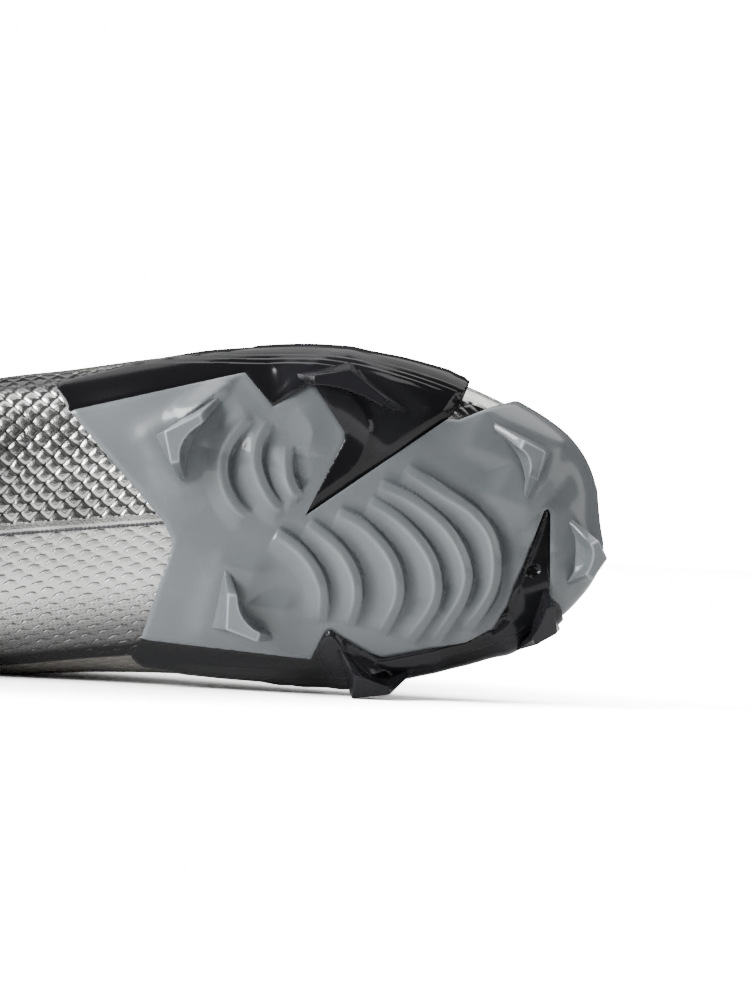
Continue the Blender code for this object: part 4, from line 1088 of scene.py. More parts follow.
def flat_vector(tree, turn=0.0):
    """The piece's own flat coordinates, turned by an angle in degrees."""
    source = tree.nodes.new("ShaderNodeUVMap")
    source.uv_map = "flat"
    mapping = tree.nodes.new("ShaderNodeMapping")
    mapping.inputs["Rotation"].default_value = (0.0, 0.0, math.radians(turn))
    tree.links.new(source.outputs["UV"], mapping.inputs["Vector"])
    return mapping.outputs["Vector"]


def object_vector(tree):
    return tree.nodes.new("ShaderNodeTexCoord").outputs["Object"]


def outer_film(colour):
    """The outer panel's film: embossed scales with dark lines, and a smooth strip along its edge."""
    material, tree, shader = material_of("outer_film", 0.2, 1.0, 0.1)
    calc = partial(reckoned, tree)
    vector = flat_vector(tree)
    emboss = placed_group(tree, "scale emboss", vector, Pitch=SCALE_PITCH, Row=SCALE_ROW)
    split = tree.nodes.new("ShaderNodeSeparateXYZ")
    tree.links.new(vector, split.inputs[0])
    edge = calc("ABSOLUTE", calc("SUBTRACT", split.outputs["Y"], 0.9 * MM))
    strip = calc("ABSOLUTE", calc("SUBTRACT", split.outputs["Y"], 46.2 * MM))
    strip = falling(tree, strip, 3.1 * MM, 3.6 * MM)
    strip = calc("MULTIPLY", strip, ramped(tree, split.outputs["X"], *SHANK))
    printed = ramped(tree, edge, 0.85 * MM, 1.05 * MM)
    printed = calc("MULTIPLY", printed, calc("SUBTRACT", 1.0, strip))
    patches = noise(tree, object_vector(tree), 60.0)
    # The outer film's silver runs from 0.55 to 0.95 of the colour in random patches, darker than the inner
    # film's: painted shade on the same silver.
    dim_painted_shade = scaled(colour, 0.55)
    silver = mixed(tree, ramped(tree, patches, 0.3, 0.7), dim_painted_shade, scaled(colour, 0.95))
    # Painted dark reflection: a dark band along the outer film, between 32.5 and 42.8 mm across.
    shank = falling(tree, split.outputs["Y"], 41.5 * MM, 42.8 * MM)
    shank = calc("MULTIPLY", shank, ramped(tree, split.outputs["Y"], 32.5 * MM, 37.0 * MM))
    shank = calc("MULTIPLY", shank, ramped(tree, split.outputs["X"], *SHANK))
    silver = mixed(tree, calc("MULTIPLY", shank, 0.92), silver, (0.04, 0.04, 0.042))
    core = calc("MULTIPLY", emboss["Cores"], 0.62)
    shade = calc("MAXIMUM", calc("MULTIPLY", emboss["Lines"], 0.95), core)
    tree.links.new(
        mixed(tree, calc("MULTIPLY", shade, printed), silver, (0.03, 0.03, 0.032)),
        shader.inputs["Base Color"],
    )
    worn = calc("ADD", 0.22, calc("MULTIPLY", shade, 0.12))
    tree.links.new(worn, shader.inputs["Roughness"])
    crackle = calc("MULTIPLY", noise(tree, object_vector(tree), 1400.0, 5.0), 0.14)
    height = calc("ADD", calc("MULTIPLY", emboss["Height"], printed), crackle)
    bumped(tree, shader, height, 0.4 * MM)
    return material


def inner_film(colour):
    """The inner panel's film: bright, with a dark arc over each scale."""
    material, tree, shader = material_of("inner_film", 0.34, 0.75, 0.2)
    calc = partial(reckoned, tree)
    emboss = placed_group(tree, "scale emboss", flat_vector(tree, -9.0), Pitch=SCALE_PITCH, Row=SCALE_ROW)
    patches = noise(tree, object_vector(tree), 40.0)
    # The inner film takes the silver at nearly its full colour, the lit copy of the outer film's darker
    # silver.
    silver = mixed(tree, ramped(tree, patches, 0.3, 0.7), scaled(colour, 0.93), colour)
    split = tree.nodes.new("ShaderNodeSeparateXYZ")
    tree.links.new(flat_vector(tree), split.inputs[0])
    inward = calc("MULTIPLY", split.outputs["Y"], -1.0)
    shank = ramped(tree, split.outputs["X"], *SHANK)
    strip = calc("MULTIPLY", ramped(tree, inward, 36.2 * MM, 36.9 * MM), shank)
    black = calc("MULTIPLY", ramped(tree, inward, 30.0 * MM, 33.5 * MM), shank)
    small = {"Pitch": 0.55 * SCALE_PITCH, "Row": 0.42 * SCALE_ROW}
    dense = placed_group(tree, "scale emboss", flat_vector(tree, -3.0), **small)
    rows = calc("MAXIMUM", dense["Lines"], calc("MULTIPLY", dense["Cores"], 0.9))
    rows = calc("MULTIPLY", rows, ramped(tree, inward, 14.0 * MM, 21.0 * MM))
    marks = calc("MULTIPLY", calc("MAXIMUM", emboss["Arcs"], rows), 0.88)
    marked = mixed(tree, marks, silver, (0.05, 0.05, 0.052))
    # Painted shade: the inner film darkens from 17 to 29 mm inward and beyond.
    painted_shade = calc("MULTIPLY", ramped(tree, inward, 17.0 * MM, 29.0 * MM), shank)
    marked = mixed(tree, calc("MULTIPLY", painted_shade, 0.85), marked, (0.07, 0.07, 0.07))
    marked = mixed(tree, black, marked, (0.02, 0.02, 0.02))
    tree.links.new(mixed(tree, strip, marked, (0.20, 0.19, 0.175)), shader.inputs["Base Color"])
    slope = calc("MULTIPLY", emboss["Height"], 0.5)
    groove = calc("MULTIPLY", emboss["Arcs"], -0.6)
    crackle = calc("MULTIPLY", noise(tree, object_vector(tree), 1400.0, 5.0), 0.1)
    bumped(tree, shader, calc("ADD", calc("ADD", slope, groove), crackle), 0.3 * MM)
    return material


def moulded(name, low, high, roughness, coat, depth):
    """A moulded plastic whose colour goes from low to high with a per-point level that follows the relief:
    painted shade towards low, painted highlight towards high.
    """
    material, tree, shader = material_of(name, roughness, 0.0, coat, 0.03)
    calc = partial(reckoned, tree)
    grain = placed_group(tree, "moulded grain", object_vector(tree), Grain=1100.0, Patch=55.0)
    painted_light_and_tone = tree.nodes.new("ShaderNodeAttribute")
    painted_light_and_tone.attribute_name = "painted_light_and_tone"
    varied = calc("ADD", painted_light_and_tone.outputs["Fac"], calc("MULTIPLY", grain["Gloss"], 0.12))
    tree.links.new(mixed(tree, ramped(tree, varied, 0.0, 1.1), low, high), shader.inputs["Base Color"])
    gloss = calc("ADD", roughness - 0.05, calc("MULTIPLY", grain["Gloss"], 0.1))
    tree.links.new(gloss, shader.inputs["Roughness"])
    bumped(tree, shader, grain["Height"], depth)
    return material, shader


def woven(name, colour, thread, roughness=0.85, sheen=0.3, turn=0.0):
    """A woven or knitted cloth on the piece's flat coordinates."""
    material, tree, shader = material_of(name, roughness)
    shader.inputs["Sheen Weight"].default_value = sheen
    weave = placed_group(tree, "weave", flat_vector(tree, turn), Thread=thread)
    # The holes between the threads take a quarter of the cloth's colour: painted shade.
    dark = scaled(colour, 0.25)
    fuzz = noise(tree, object_vector(tree), 300.0)
    light = mixed(tree, ramped(tree, fuzz, 0.3, 0.75), scaled(colour, 0.75), scaled(colour, 1.25))
    tree.links.new(mixed(tree, weave["Hole shade"], light, dark), shader.inputs["Base Color"])
    bumped(tree, shader, weave["Height"], 0.35 * thread)
    return material


class CleatSizes(bpy.types.PropertyGroup):
    """Sizes of the moulded relief and the trimmings"""

    rib_rise: FloatProperty(
        name="Rib rise", description="Height of the ribs", unit="LENGTH", default=2.0 * MM
    )
    rib_back: FloatProperty(
        name="Rib back", description="Width of a rib's soft back", unit="LENGTH", default=5.5 * MM
    )
    rib_face: FloatProperty(
        name="Rib face", description="Width of a rib's steep face", unit="LENGTH", default=2.7 * MM
    )
    swell_rise: FloatProperty(
        name="Swell", description="Swelling round a stud", unit="LENGTH", default=1.3 * MM
    )
    swell_reach: FloatProperty(
        name="Swell reach", description="Reach of the swelling", unit="LENGTH", default=4.5 * MM
    )
    stud_flare: FloatProperty(
        name="Stud flare", description="How fast a stud's inner corner gathers", default=2.4
    )
    arm_flare: FloatProperty(
        name="Arm flare", description="How fast the ends of a stud's arms gather", default=1.15
    )
    edge_round: FloatProperty(
        name="Edge", description="Width of the eased edges", unit="LENGTH", default=0.42 * MM
    )
    crease_depth: FloatProperty(
        name="Creases", description="Depth of the toe creases", unit="LENGTH", default=0.7 * MM
    )
    stitch: FloatProperty(name="Stitch", description="Length of a stitch", unit="LENGTH", default=2.2 * MM)


class CleatColours(bpy.types.PropertyGroup):
    """Colours of the finishes"""

    # Two greys for the smoke plates: the first is painted shade in the troughs, the second painted highlight
    # on the crests.
    smoke_painted_shade: FloatVectorProperty(
        name="Smoke, troughs",
        description="Moulded grey in the troughs",
        subtype="COLOR",
        default=(0.062, 0.071, 0.078),
    )
    smoke_painted_highlight: FloatVectorProperty(
        name="Smoke, crests",
        description="Moulded grey on the crests",
        subtype="COLOR",
        default=(0.30, 0.32, 0.335),
    )
    black: FloatVectorProperty(
        name="Black frame", description="Glossy frames", subtype="COLOR", default=(0.006, 0.006, 0.007)
    )
    silver: FloatVectorProperty(
        name="Silver film", description="Film of the upper", subtype="COLOR", default=(0.80, 0.80, 0.78)
    )
    cloth: FloatVectorProperty(
        name="Cloth", description="Lining, tongue and laces", subtype="COLOR", default=(0.035, 0.035, 0.038)
    )


class CleatStage(bpy.types.PropertyGroup):
    """Light and floor"""

    floor: FloatProperty(name="Floor", description="Brightness of the paper", subtype="FACTOR", default=0.8)
    paper_seen: FloatProperty(
        name="Paper seen", description="How much brighter the camera sees it", default=20.0
    )
    key: FloatProperty(
        name="Key light", description="Light from the upper left", unit="POWER", default=80.0
    )
    overhead: FloatProperty(
        name="Overhead light", description="Light from above", unit="POWER", default=24.0
    )
    fill: FloatProperty(name="Fill light", description="Light from the right", unit="POWER", default=3.0)


class CLEAT_OT_upper(bpy.types.Operator):
    """Make the embossed silver upper with its lining, creases and arch seam"""

    bl_idname = "cleat.upper"
    bl_label = "Upper"

    def execute(self, context):
        sizes, colours = context.scene.cleat_sizes, context.scene.cleat_colours
        make_scale_emboss()
        make_weave()
        films = [
            outer_film(tuple(colours.silver)),
            inner_film(tuple(colours.silver)),
            woven("lining", tuple(colours.cloth), 0.9 * MM),
        ]
        back = THROAT_END_RADIUS * np.array((0, 0.03, 0.1, 0.2, 0.35, 0.55, 0.8))
        near_throat = [place_at(along) for along in THROAT_FRONT - back]
        places = np.array(sorted(set(np.round(np.arange(0, LAST_PLACE + 0.01, 0.08), 4)) | set(near_throat)))
        lower_ways = np.concatenate([[0.0, 0.006, 0.014, 0.03, 0.055], np.linspace(0.09, 1, 21)])
        upper_ways = np.linspace(0, 1, 25)[1:]
        ways = np.concatenate([lower_ways, 1 + upper_ways])
        ways = np.concatenate([-ways[::-1], ways[1:]])
        shares = np.zeros((len(places), len(ways)))
        lift = np.zeros(shares.shape)
        flat = np.zeros(shares.shape + (2,))
        for k, place in enumerate(places):
            low, high = widest_share(place), edge_share(float(place))
            row, _, _, _, girth = section(round(float(place), 7))
            up = low * np.minimum(abs(ways), 1) + (high - low) * np.clip(abs(ways) - 1, 0, 1)
            way = np.sign(ways) * up
            along = along_of(place)
            arch = 1 - eased((abs(along / LENGTH - 0.42) - 0.17) / 0.06)
            seam = -row[2] / max(girth, 0.01) * arch
            shares[k] = way + seam * (1 - np.minimum(abs(ways), 1))
            flat[k, :, 0] = along
            flat[k, :, 1] = way * GIRTH_SCALE
            lapped = 0.25 * MM * arch * eased(ways / 0.006) * (1 - eased(ways / 0.35))
            sunk = -0.12 * MM * arch * (ways < 0) * (1 - eased(-ways / 0.02))
            waved = film_relief(along, way, girth, ways, sizes.crease_depth)
            lift[k] = lapped + sunk + np.where(ways < 0, np.minimum(waved, 0), waved)

        def dropped(k, m):
            along = along_of(places[k]) / LENGTH
            return any(
                first < along < last and max(abs(ways[m]), abs(ways[m + 1])) <= reach + 0.05
                for first, last, reach in LASTING_OPENINGS
            )

        def slot_of(m, outside):
            if not outside:
                return 2
            return 1 if -1.0 < 0.5 * (ways[m] + ways[m + 1]) < 0 else 0

        outer = surface(places, shares, lift)
        inner = surface(places, shares, lift - WALL)
        piece = shell("upper_film", outer, inner, flat, dropped, films, slot_of)
        fitted(smooth(piece, 50), "upper", "upper")

        thread = woven("seam_thread", (0.05, 0.05, 0.055), 0.5 * MM, 0.6)
        line = [place_at(x) for x in np.linspace(0.262 * LENGTH, 0.562 * LENGTH, 260)]
        shares = [[(-section(round(p, 7))[0][2] - 0.55 * MM) / girth_at(p)] for p in line]
        centres = surface(line, shares, 0.02 * MM)[:, 0]
        sides = np.tile((0.0, 1.0, 0.0), (len(line), 1))

        def rope(f):
            beat = 1 + 0.22 * math.sin(f * 2 * math.pi * 60)
            return oval(0.85 * MM * beat, 0.6 * MM * beat, 8)

        fitted(smooth(sweep("arch_seam", centres, sides, rope, [thread]), 60), "laces")
        return {"FINISHED"}


def film_relief(along, way, girth, ways, depth):
    """Soft troughs and ridges: creases over the toe joint, a wave along the arch, a line round the heel."""
    off_crown = (1 - abs(way)) * girth
    vamp = eased((abs(ways) - 1.12) / 0.25)
    lift = np.zeros(way.shape)
    for at, lean, deep in ((0.655, 0.10, 0.7), (0.700, 0.16, 1.0), (0.742, 0.22, 0.6)):
        away = along - at * LENGTH + lean * off_crown
        fold = -np.exp(-((away / (2.4 * MM)) ** 2)) + 0.6 * np.exp(-(((away - 5.0 * MM) / (3.0 * MM)) ** 2))
        lift += depth * deep * vamp * fold * np.exp(-((off_crown / 0.042) ** 2))
    heel = eased((abs(ways) - 1.1) / 0.2) * (1 - eased((along / LENGTH - 0.06) / 0.03))
    lift += 0.35 * MM * heel
    side = np.exp(-(((abs(ways) - 1.22) / 0.07) ** 2)) * eased((along / LENGTH - 0.25) / 0.05)
    lift += 0.3 * MM * side * (1 - eased((along / LENGTH - 0.55) / 0.05))
    return lift


def smoke_material(context):
    """The smoke-grey plastic of both plates, a little milky by subsurface scattering, with painted shade in
    its troughs and painted highlights on its crests.
    """
    colours = context.scene.cleat_colours
    if "smoke" in bpy.data.materials:
        return bpy.data.materials["smoke"]
    make_moulded_grain()
    # low is the painted shade in the troughs, high the painted highlight on the crests
    low, high = tuple(colours.smoke_painted_shade), tuple(colours.smoke_painted_highlight)
    smoke, shader = moulded("smoke", low, high, 0.3, 0.35, 0.02 * MM)
    shader.inputs["Subsurface Weight"].default_value = 0.12
    shader.inputs["Subsurface Radius"].default_value = (1.0, 1.05, 1.1)
    shader.inputs["Subsurface Scale"].default_value = 1.2 * MM
    return smoke


def black_material(context):
    """The glossy black plastic of the frames."""
    colours = context.scene.cleat_colours
    if "black" in bpy.data.materials:
        return bpy.data.materials["black"]
    make_moulded_grain()
    low = tuple(colours.black)
    # The lighter end, 2.4 times the black, is a painted highlight on the swellings round the studs.
    black, shader = moulded("black", low, scaled(low, 2.4), 0.16, 0.0, 0.004 * MM)
    shader.inputs["Specular IOR Level"].default_value = 0.32
    return black


class CLEAT_OT_plate(bpy.types.Operator):
    """Make the grey forefoot plate with its ribs and studs"""

    bl_idname = "cleat.plate"
    bl_label = "Forefoot plate"

    def execute(self, context):
        sizes = context.scene.cleat_sizes
        smoke = smoke_material(context)
        studs = ("rear_lateral", "rear_medial", "toe_lateral", "toe_tip")

        def relief(x, across, rim):
            lift = rib_relief(x, across, sizes) + stud_relief(x, across, studs, sizes)
            lift += fold_relief(x, across, PLATE_FOLDS)
            lift += shoulder(from_outline(x, across, FOREFOOT_EDGE), 1.5 * MM, 0.9 * MM)
            for outline in (LATERAL_FRAME, MEDIAL_FRAME):
                lift += shoulder(-from_outline(x, across, outline), 0.9 * MM, 0.4 * MM)
            return lift + shoulder(rim, 2.5 * MM, 1.0 * MM)

        places = spread(0.44 * LENGTH, LENGTH, 290, (0.59 * LENGTH, 0.91 * LENGTH), 0.68)
        plate = sole_sheet("forefoot_plate_form", places, np.linspace(-1, 1, 171), relief, smoke)
        combined(plate, [prism("outline", grown(FOREFOOT_EDGE, 0.0))], "INTERSECT")
        cuts = [prism("cut", grown(outline, SEAM_GAP)) for outline in (LATERAL_FRAME, MEDIAL_FRAME)]
        combined(plate, cuts, "DIFFERENCE")
        combined(plate, [blade(name, STUD_HEIGHT, sizes, smoke) for name in studs], "UNION")

        # Painted light on the smoke plate: a painted highlight along each rib's crest and on the first fold's
        # ridge, lighter rib backs, and painted shade in the troughs behind the ribs.
        def painted_light_and_tone(x, across):
            raised, sunk, crest = rib_form(x, across, sizes)
            folds = fold_relief(x, across, PLATE_FOLDS[:1]) / PLATE_FOLDS[0][1]
            return 0.40 + 0.16 * raised**2 + 0.42 * crest - 0.50 * sunk * (1 - raised) + 0.5 * folds**4

        paint_light_and_tone(plate, painted_light_and_tone, studs, STUD_HEIGHT)
        fitted(smooth(plate, 35), "smoke_plate", "forefoot_plate")
        return {"FINISHED"}


def make_frame(context, name, outline, studs, stretch, columns, count, height, folds, ends, chamfer=None):
    """A glossy frame: a layer cut to its outline, with folds, a stepped rim and its studs."""
    sizes, black = context.scene.cleat_sizes, black_material(context)

    def relief(x, across, rim):
        lift = stud_relief(x, across, studs, sizes) + fold_relief(x, across, folds)
        fading = eased((x / LENGTH - stretch[0] - 0.02) / 0.08) * eased((stretch[1] - x / LENGTH) / 0.10)
        ledges = MEDIAL_LEDGES if outline is MEDIAL_FRAME else RIM_LEDGES
        lift += terraces(rim, ledges) * (0.25 + 0.75 * fading) + dimple_relief(x, across)
        lift += shoulder(from_outline(x, across, outline), 0.9 * MM, 0.4 * MM)
        if chamfer:
            distance, _ = from_line(x, across, [on_plan(point) for point in chamfer])
            lift -= 0.5 * np.clip(CHAMFER - abs(distance), 0, None)
        return lift

    places = spread(stretch[0] * LENGTH, stretch[1] * LENGTH, count)
    sheet = sole_sheet(name + "_form", places, columns, relief, black)
    combined(sheet, [prism("outline", grown(rounded(outline, ends), 0.0))], "INTERSECT")
    combined(sheet, [blade(stud, height, sizes, black) for stud in studs], "UNION")
    # Painted highlight: the swellings round the studs' feet are coloured lighter.
    paint_light_and_tone(sheet, lambda x, across: stud_relief(x, across, studs, sizes) / sizes.swell_rise)
    return fitted(smooth(sheet, 32), "black_frame", name)


def rim_columns(side):
    """Columns of a frame, closer together where its rim is stepped."""
    columns = np.concatenate(
        [
            np.linspace(-0.1, 0.76, 74, endpoint=False),
            np.linspace(0.76, 0.93, 52, endpoint=False),
            np.linspace(0.93, 1.0, 9),
        ]
    )
    return columns if side > 0 else -columns[::-1]


class CLEAT_OT_frames(bpy.types.Operator):
    """Make the glossy black frames of the forefoot"""

    bl_idname = "cleat.frames"
    bl_label = "Forefoot frames"

    def execute(self, context):
        make_frame(
            context,
            "lateral_frame",
            LATERAL_FRAME,
            ("outer_ball",),
            (0.44, 0.89),
            rim_columns(1),
            250,
            STUD_HEIGHT,
            LATERAL_FOLDS,
            {0: 2.0 * MM, 1: 3.0 * MM, 17: 3.0 * MM, 18: 3.0 * MM},
            SPIKE_BORDER,
        )
        make_frame(
            context,
            "medial_frame",
            MEDIAL_FRAME,
            ("inner_toe", "inner_ball"),
            (0.50, 0.975),
            rim_columns(-1),
            250,
            STUD_HEIGHT,
            MEDIAL_FOLDS,
            {22: 3.0 * MM, 23: 1.5 * MM},
        )
        return {"FINISHED"}


class CLEAT_OT_heel(bpy.types.Operator):
    """Make the grey heel plate and the black horseshoe round it"""

    bl_idname = "cleat.heel"
    bl_label = "Heel plate and frame"

    def execute(self, context):
        smoke = smoke_material(context)
        stretch = (0.0, 0.335)

        def relief(x, across, rim):
            rings = np.hypot(x - 0.15 * LENGTH, 1.3 * across)
            waves = 0.5 + 0.5 * np.cos(rings / (9 * MM) * 2 * math.pi)
            inside = eased(from_outline(x, across, HEEL_INSIDE) / (4 * MM))
            lift = 0.9 * MM * waves**3 * inside
            lift += shoulder(from_outline(x, across, HEEL_EDGE), 1.5 * MM, 0.9 * MM)
            return lift + shoulder(-from_outline(x, across, HEEL_FRAME), 0.9 * MM, 0.4 * MM)

        places = spread(stretch[0], stretch[1] * LENGTH, 150)
        plate = sole_sheet("heel_plate_form", places, np.linspace(-HEEL_SPAN, HEEL_SPAN, 91), relief, smoke)
        combined(plate, [prism("outline", grown(HEEL_EDGE, 0.0))], "INTERSECT")
        combined(plate, [prism("cut", grown(HEEL_FRAME, SEAM_GAP))], "DIFFERENCE")
        # Painted light: the raised rings are coloured lighter and the rounded edges darker.
        paint_light_and_tone(plate, lambda x, across: 0.45 + relief(x, across, 0 * x) / (2.5 * MM))
        fitted(smooth(plate, 35), "smoke_plate", "heel_plate")

        columns = np.linspace(-HEEL_SPAN, HEEL_SPAN, 101)
        studs = ("heel_outer_front", "heel_inner_front", "heel_outer_back", "heel_inner_back")
        make_frame(context, "heel_frame", HEEL_FRAME, studs, stretch, columns, 180, HEEL_STUD_HEIGHT, (), {})
        return {"FINISHED"}


class CLEAT_OT_insides(bpy.types.Operator):
    """Make the insole, the padded tongue and the padded collar"""

    bl_idname = "cleat.insides"
    bl_label = "Insole, tongue and collar"

    def execute(self, context):
        cloth = tuple(context.scene.cleat_colours.cloth)
        make_weave()
        sock = woven("sock_cloth", scaled(cloth, 1.6), 0.8 * MM)
        knit = woven("tongue_knit", cloth, 1.1 * MM, 0.8, 0.4, 45.0)

        places = np.array([place_at(x) for x in np.linspace(INSOLE_REACH[0], INSOLE_REACH[1], 120)])
        ways = np.linspace(-1, 1, 61)
        widest = np.array([widest_share(place) for place in places])
        girths = np.array([girth_at(place) for place in places])
        shares = widest[:, None] * ways[None, :] / INSOLE_NARROWING
        along = np.array([along_of(place) for place in places])[:, None]
        flat = np.stack(np.broadcast_arrays(along, shares * girths[:, None]), -1)
        dish = 0.9 * MM * eased((abs(ways) - 0.6) / 0.4)[None, :] * np.ones((len(places), 1))
        ends = from_ends(len(places)) / 6
        inward = np.minimum(ends, (1 - abs(ways))[None, :] * 16)
        thick = INSOLE * (0.35 + 0.65 * np.sqrt(np.clip(inward, 0, 1)))
        outer = surface(places, shares, -(WALL + CLEARANCE))
        inner = surface(places, shares, -(WALL + CLEARANCE) - thick - dish)
        insole = shell("insole_form", outer, inner, flat, materials=[sock])
        fitted(smooth(insole, 50), "insole", "insole")

        places = np.array([place_at(x) for x in np.linspace(TONGUE_TOP, TONGUE_FRONT, 90)])
        ways = np.linspace(1, -1, 65)
        shares = np.zeros((len(places), len(ways)))
        off = np.zeros(shares.shape)
        for k, place in enumerate(places):
            along = min(max(along_of(place), THROAT_TOP), THROAT_FRONT - THROAT_END_RADIUS)
            reach = max(throat_half_gap(along), 0.0) + TONGUE_LAP
            off[k] = reach * ways
            girth = girth_at(place)
            shares[k] = np.where(ways >= 0, 1, -1) * (1 - abs(off[k]) / girth)
        along = np.array([along_of(place) for place in places])[:, None] * np.ones((1, len(ways)))
        flat = np.stack([along, off], -1)
        ends = from_ends(len(places)) / 7
        round_edge = np.sqrt(np.clip(np.minimum(ends, (1 - abs(ways))[None, :] * 9), 0, 1))
        quilt = 0.5 + 0.5 * np.cos((along - TONGUE_TOP) / (11 * MM) * 2 * math.pi)
        quilt = 0.7 * MM * (1 - quilt**6) * (1 - eased((abs(ways) - 0.55) / 0.1))[None, :]
        channel = 0.6 * MM * np.exp(-(((abs(ways) - 0.66) / 0.03) ** 2))[None, :]
        puff = -(1 - round_edge) * 1.3 * MM + quilt - channel * round_edge
        outer = surface(places, shares, -(WALL + TONGUE_CLEARANCE) - 0.7 * MM + puff)
        inner = surface(places, shares, -(WALL + TONGUE_CLEARANCE + TONGUE) + (1 - round_edge) * 1.3 * MM)
        tongue = shell("tongue_form", outer, inner, flat, materials=[knit])
        fitted(smooth(tongue, 60), "tongue", "tongue")

        half = [place_at(x) for x in np.concatenate([np.linspace(0.086, 0.008, 70), [0.004, 0.0015]])]
        centres, sides = [], []
        for side, line in ((1, half), (-1, half[::-1])):
            for place in line:
                girth = girth_at(place)
                share = edge_share(float(place)) - 2.2 * MM / girth
                place = round(float(place), 7)
                high = spot(place, side * share, 0.0)
                low = spot(place, side * share, -1.0 * MM)
                centres.append(spot(place, side * share, -(WALL + 1.1 * MM)))
                sides.append(high - low)

        def roll(f):
            taper = math.sin(math.pi * min(max(f, 0.004), 0.996)) ** 0.25
            return oval(3.6 * MM * taper, 6.4 * MM * taper, 20, 2.3)

        collar = sweep("collar_roll", centres, sides, roll, [woven("collar_knit", cloth, 0.9 * MM, 0.8, 0.4)])
        fitted(smooth(collar, 60), "tongue")
        return {"FINISHED"}


def eyelet_at(number, side):
    """Place and signed share of an eyelet; 0 is the front pair."""
    along = FIRST_EYELET + (LAST_EYELET - FIRST_EYELET) * number / (EYELET_PAIRS - 1)
    place = round(place_at(along), 7)
    return place, side * (edge_share(place) - EYELET_INSET / section(place)[4])


class CLEAT_OT_lacing(bpy.types.Operator):
    """Make the eyestays with their stitches and eyelets, and the laces"""

    bl_idname = "cleat.lacing"
    bl_label = "Eyestays and laces"

    def execute(self, context):
        sizes = context.scene.cleat_sizes
        make_moulded_grain()
        low, high = (0.012, 0.012, 0.013), (0.03, 0.03, 0.032)
        stay_film = moulded("eyestay_film", low, high, 0.42, 0.1, 0.05 * MM)[0]
        thread, tree, shader = material_of("stitch_thread", 0.6)
        shader.inputs["Sheen Weight"].default_value = 0.2
        fuzz = noise(tree, object_vector(tree), 900.0)
        greys = mixed(tree, fuzz, (0.25, 0.25, 0.25), (0.5, 0.5, 0.5))
        tree.links.new(greys, shader.inputs["Base Color"])

        places = np.array([place_at(x) for x in np.linspace(THROAT_TOP, THROAT_FRONT - 0.25 * MM, 150)])
        ways = np.linspace(STAY_SPAN, 1, 25)
        stitches = bmesh.new()
        rings = []
        rim = oval(0.9 * MM, 0.5 * MM, 10)
        for name, side in (("eyestay_lateral", 1), ("eyestay_medial", -1)):
            shares = np.zeros((len(places), len(ways)))
            edge = np.zeros(shares.shape)
            for k, place in enumerate(places):
                low, high = widest_share(place), edge_share(float(place))
                girth = girth_at(place)
                shares[k] = side * (low + (high - low) * ways)
                edge[k] = np.minimum(ways - STAY_SPAN, 1.0 - ways) * (high - low) * girth
            ends = from_ends(len(places)) * 0.58 * MM
            edge = np.minimum(edge, ends)
            thick = EYESTAY * (0.45 + 0.55 * np.sqrt(np.clip(edge / (1.0 * MM), 0, 1)))
            thick -= 0.25 * MM * np.exp(-(((edge - 2.6 * MM) / (0.5 * MM)) ** 2))
            order = slice(None) if side > 0 else slice(None, None, -1)
            outer = surface(places, shares, CLEARANCE + thick)[:, order]
            inner = surface(places, shares, 0.05 * MM)[:, order]
            stay = shell(name + "_form", outer, inner, materials=[stay_film])
            punches = []
            for number in range(EYELET_PAIRS):
                place, share = eyelet_at(number, side)
                high, low = spot(place, share, 6 * MM), spot(place, share, -6 * MM)
                punch = bmesh.new()
                turn = (high - low).to_track_quat("Z", "Y").to_matrix().to_4x4()
                bmesh.ops.create_cone(
                    punch,
                    cap_ends=True,
                    segments=28,
                    radius1=EYELET_RADIUS,
                    radius2=EYELET_RADIUS,
                    depth=12 * MM,
                    matrix=LYING @ Matrix.Translation((high + low) / 2) @ turn,
                )
                punches.append(object_of("punch", punch))
                normal = (high - low).normalized()
                aside = normal.cross(Vector((1, 0, 0))).normalized()
                ahead = aside.cross(normal)
                centre = spot(place, share, CLEARANCE + EYESTAY)
                circle = []
                for angle in np.arange(32) * math.pi / 16:
                    away = aside * math.cos(angle) + ahead * math.sin(angle)
                    circle.append(centre + away * (EYELET_RADIUS + 0.5 * MM))
                outward = [point - centre for point in circle]
                rings.append(sweep("ring", circle, outward, lambda f: rim, [stay_film], True))
            film = bpy.data.objects["upper_film"]
            combined(stay, [copy_of(punch) for punch in punches], "DIFFERENCE")
            combined(film, punches, "DIFFERENCE")
            paint_light_and_tone(stay, lambda x, across: 0.3 + 0 * x)
            fitted(smooth(stay, 40), "eyestay", name)
            for way in STITCH_LINES:
                sew(stitches, places, way, side, sizes.stitch)
        smooth(bpy.data.objects["upper_film"], 50)
        fitted(smooth(joined("eyelet_rings", rings), 60), "eyestay")
        paint_light_and_tone(bpy.data.objects["eyelet_rings"], lambda x, across: 0.6 + 0 * x)
        fitted(smooth(object_of("eyestay_stitches", stitches, [thread]), 80), "laces")

        dark = scaled(context.scene.cleat_colours.cloth, 1.4)
        lace_cloth = woven("lace_weave", dark, 0.7 * MM, 0.75, 0.3, 45.0)
        strands = [strand(eyelet_at(0, -1), eyelet_at(0, 1), 0.0, lace_cloth)]
        for number in range(EYELET_PAIRS - 1):
            for side in (1, -1):
                over = 0.75 * MM if (side > 0) == (number % 2 == 0) else -0.55 * MM
                ends = eyelet_at(number, side), eyelet_at(number + 1, -side)
                strands.append(strand(*ends, over, lace_cloth))
        fitted(smooth(joined("laces_form", strands), 60), "laces", "laces")
        return {"FINISHED"}


def copy_of(piece):
    """A copy of an object and its mesh."""
    twin = piece.copy()
    twin.data = piece.data.copy()
    bpy.context.scene.collection.objects.link(twin)
    return twin


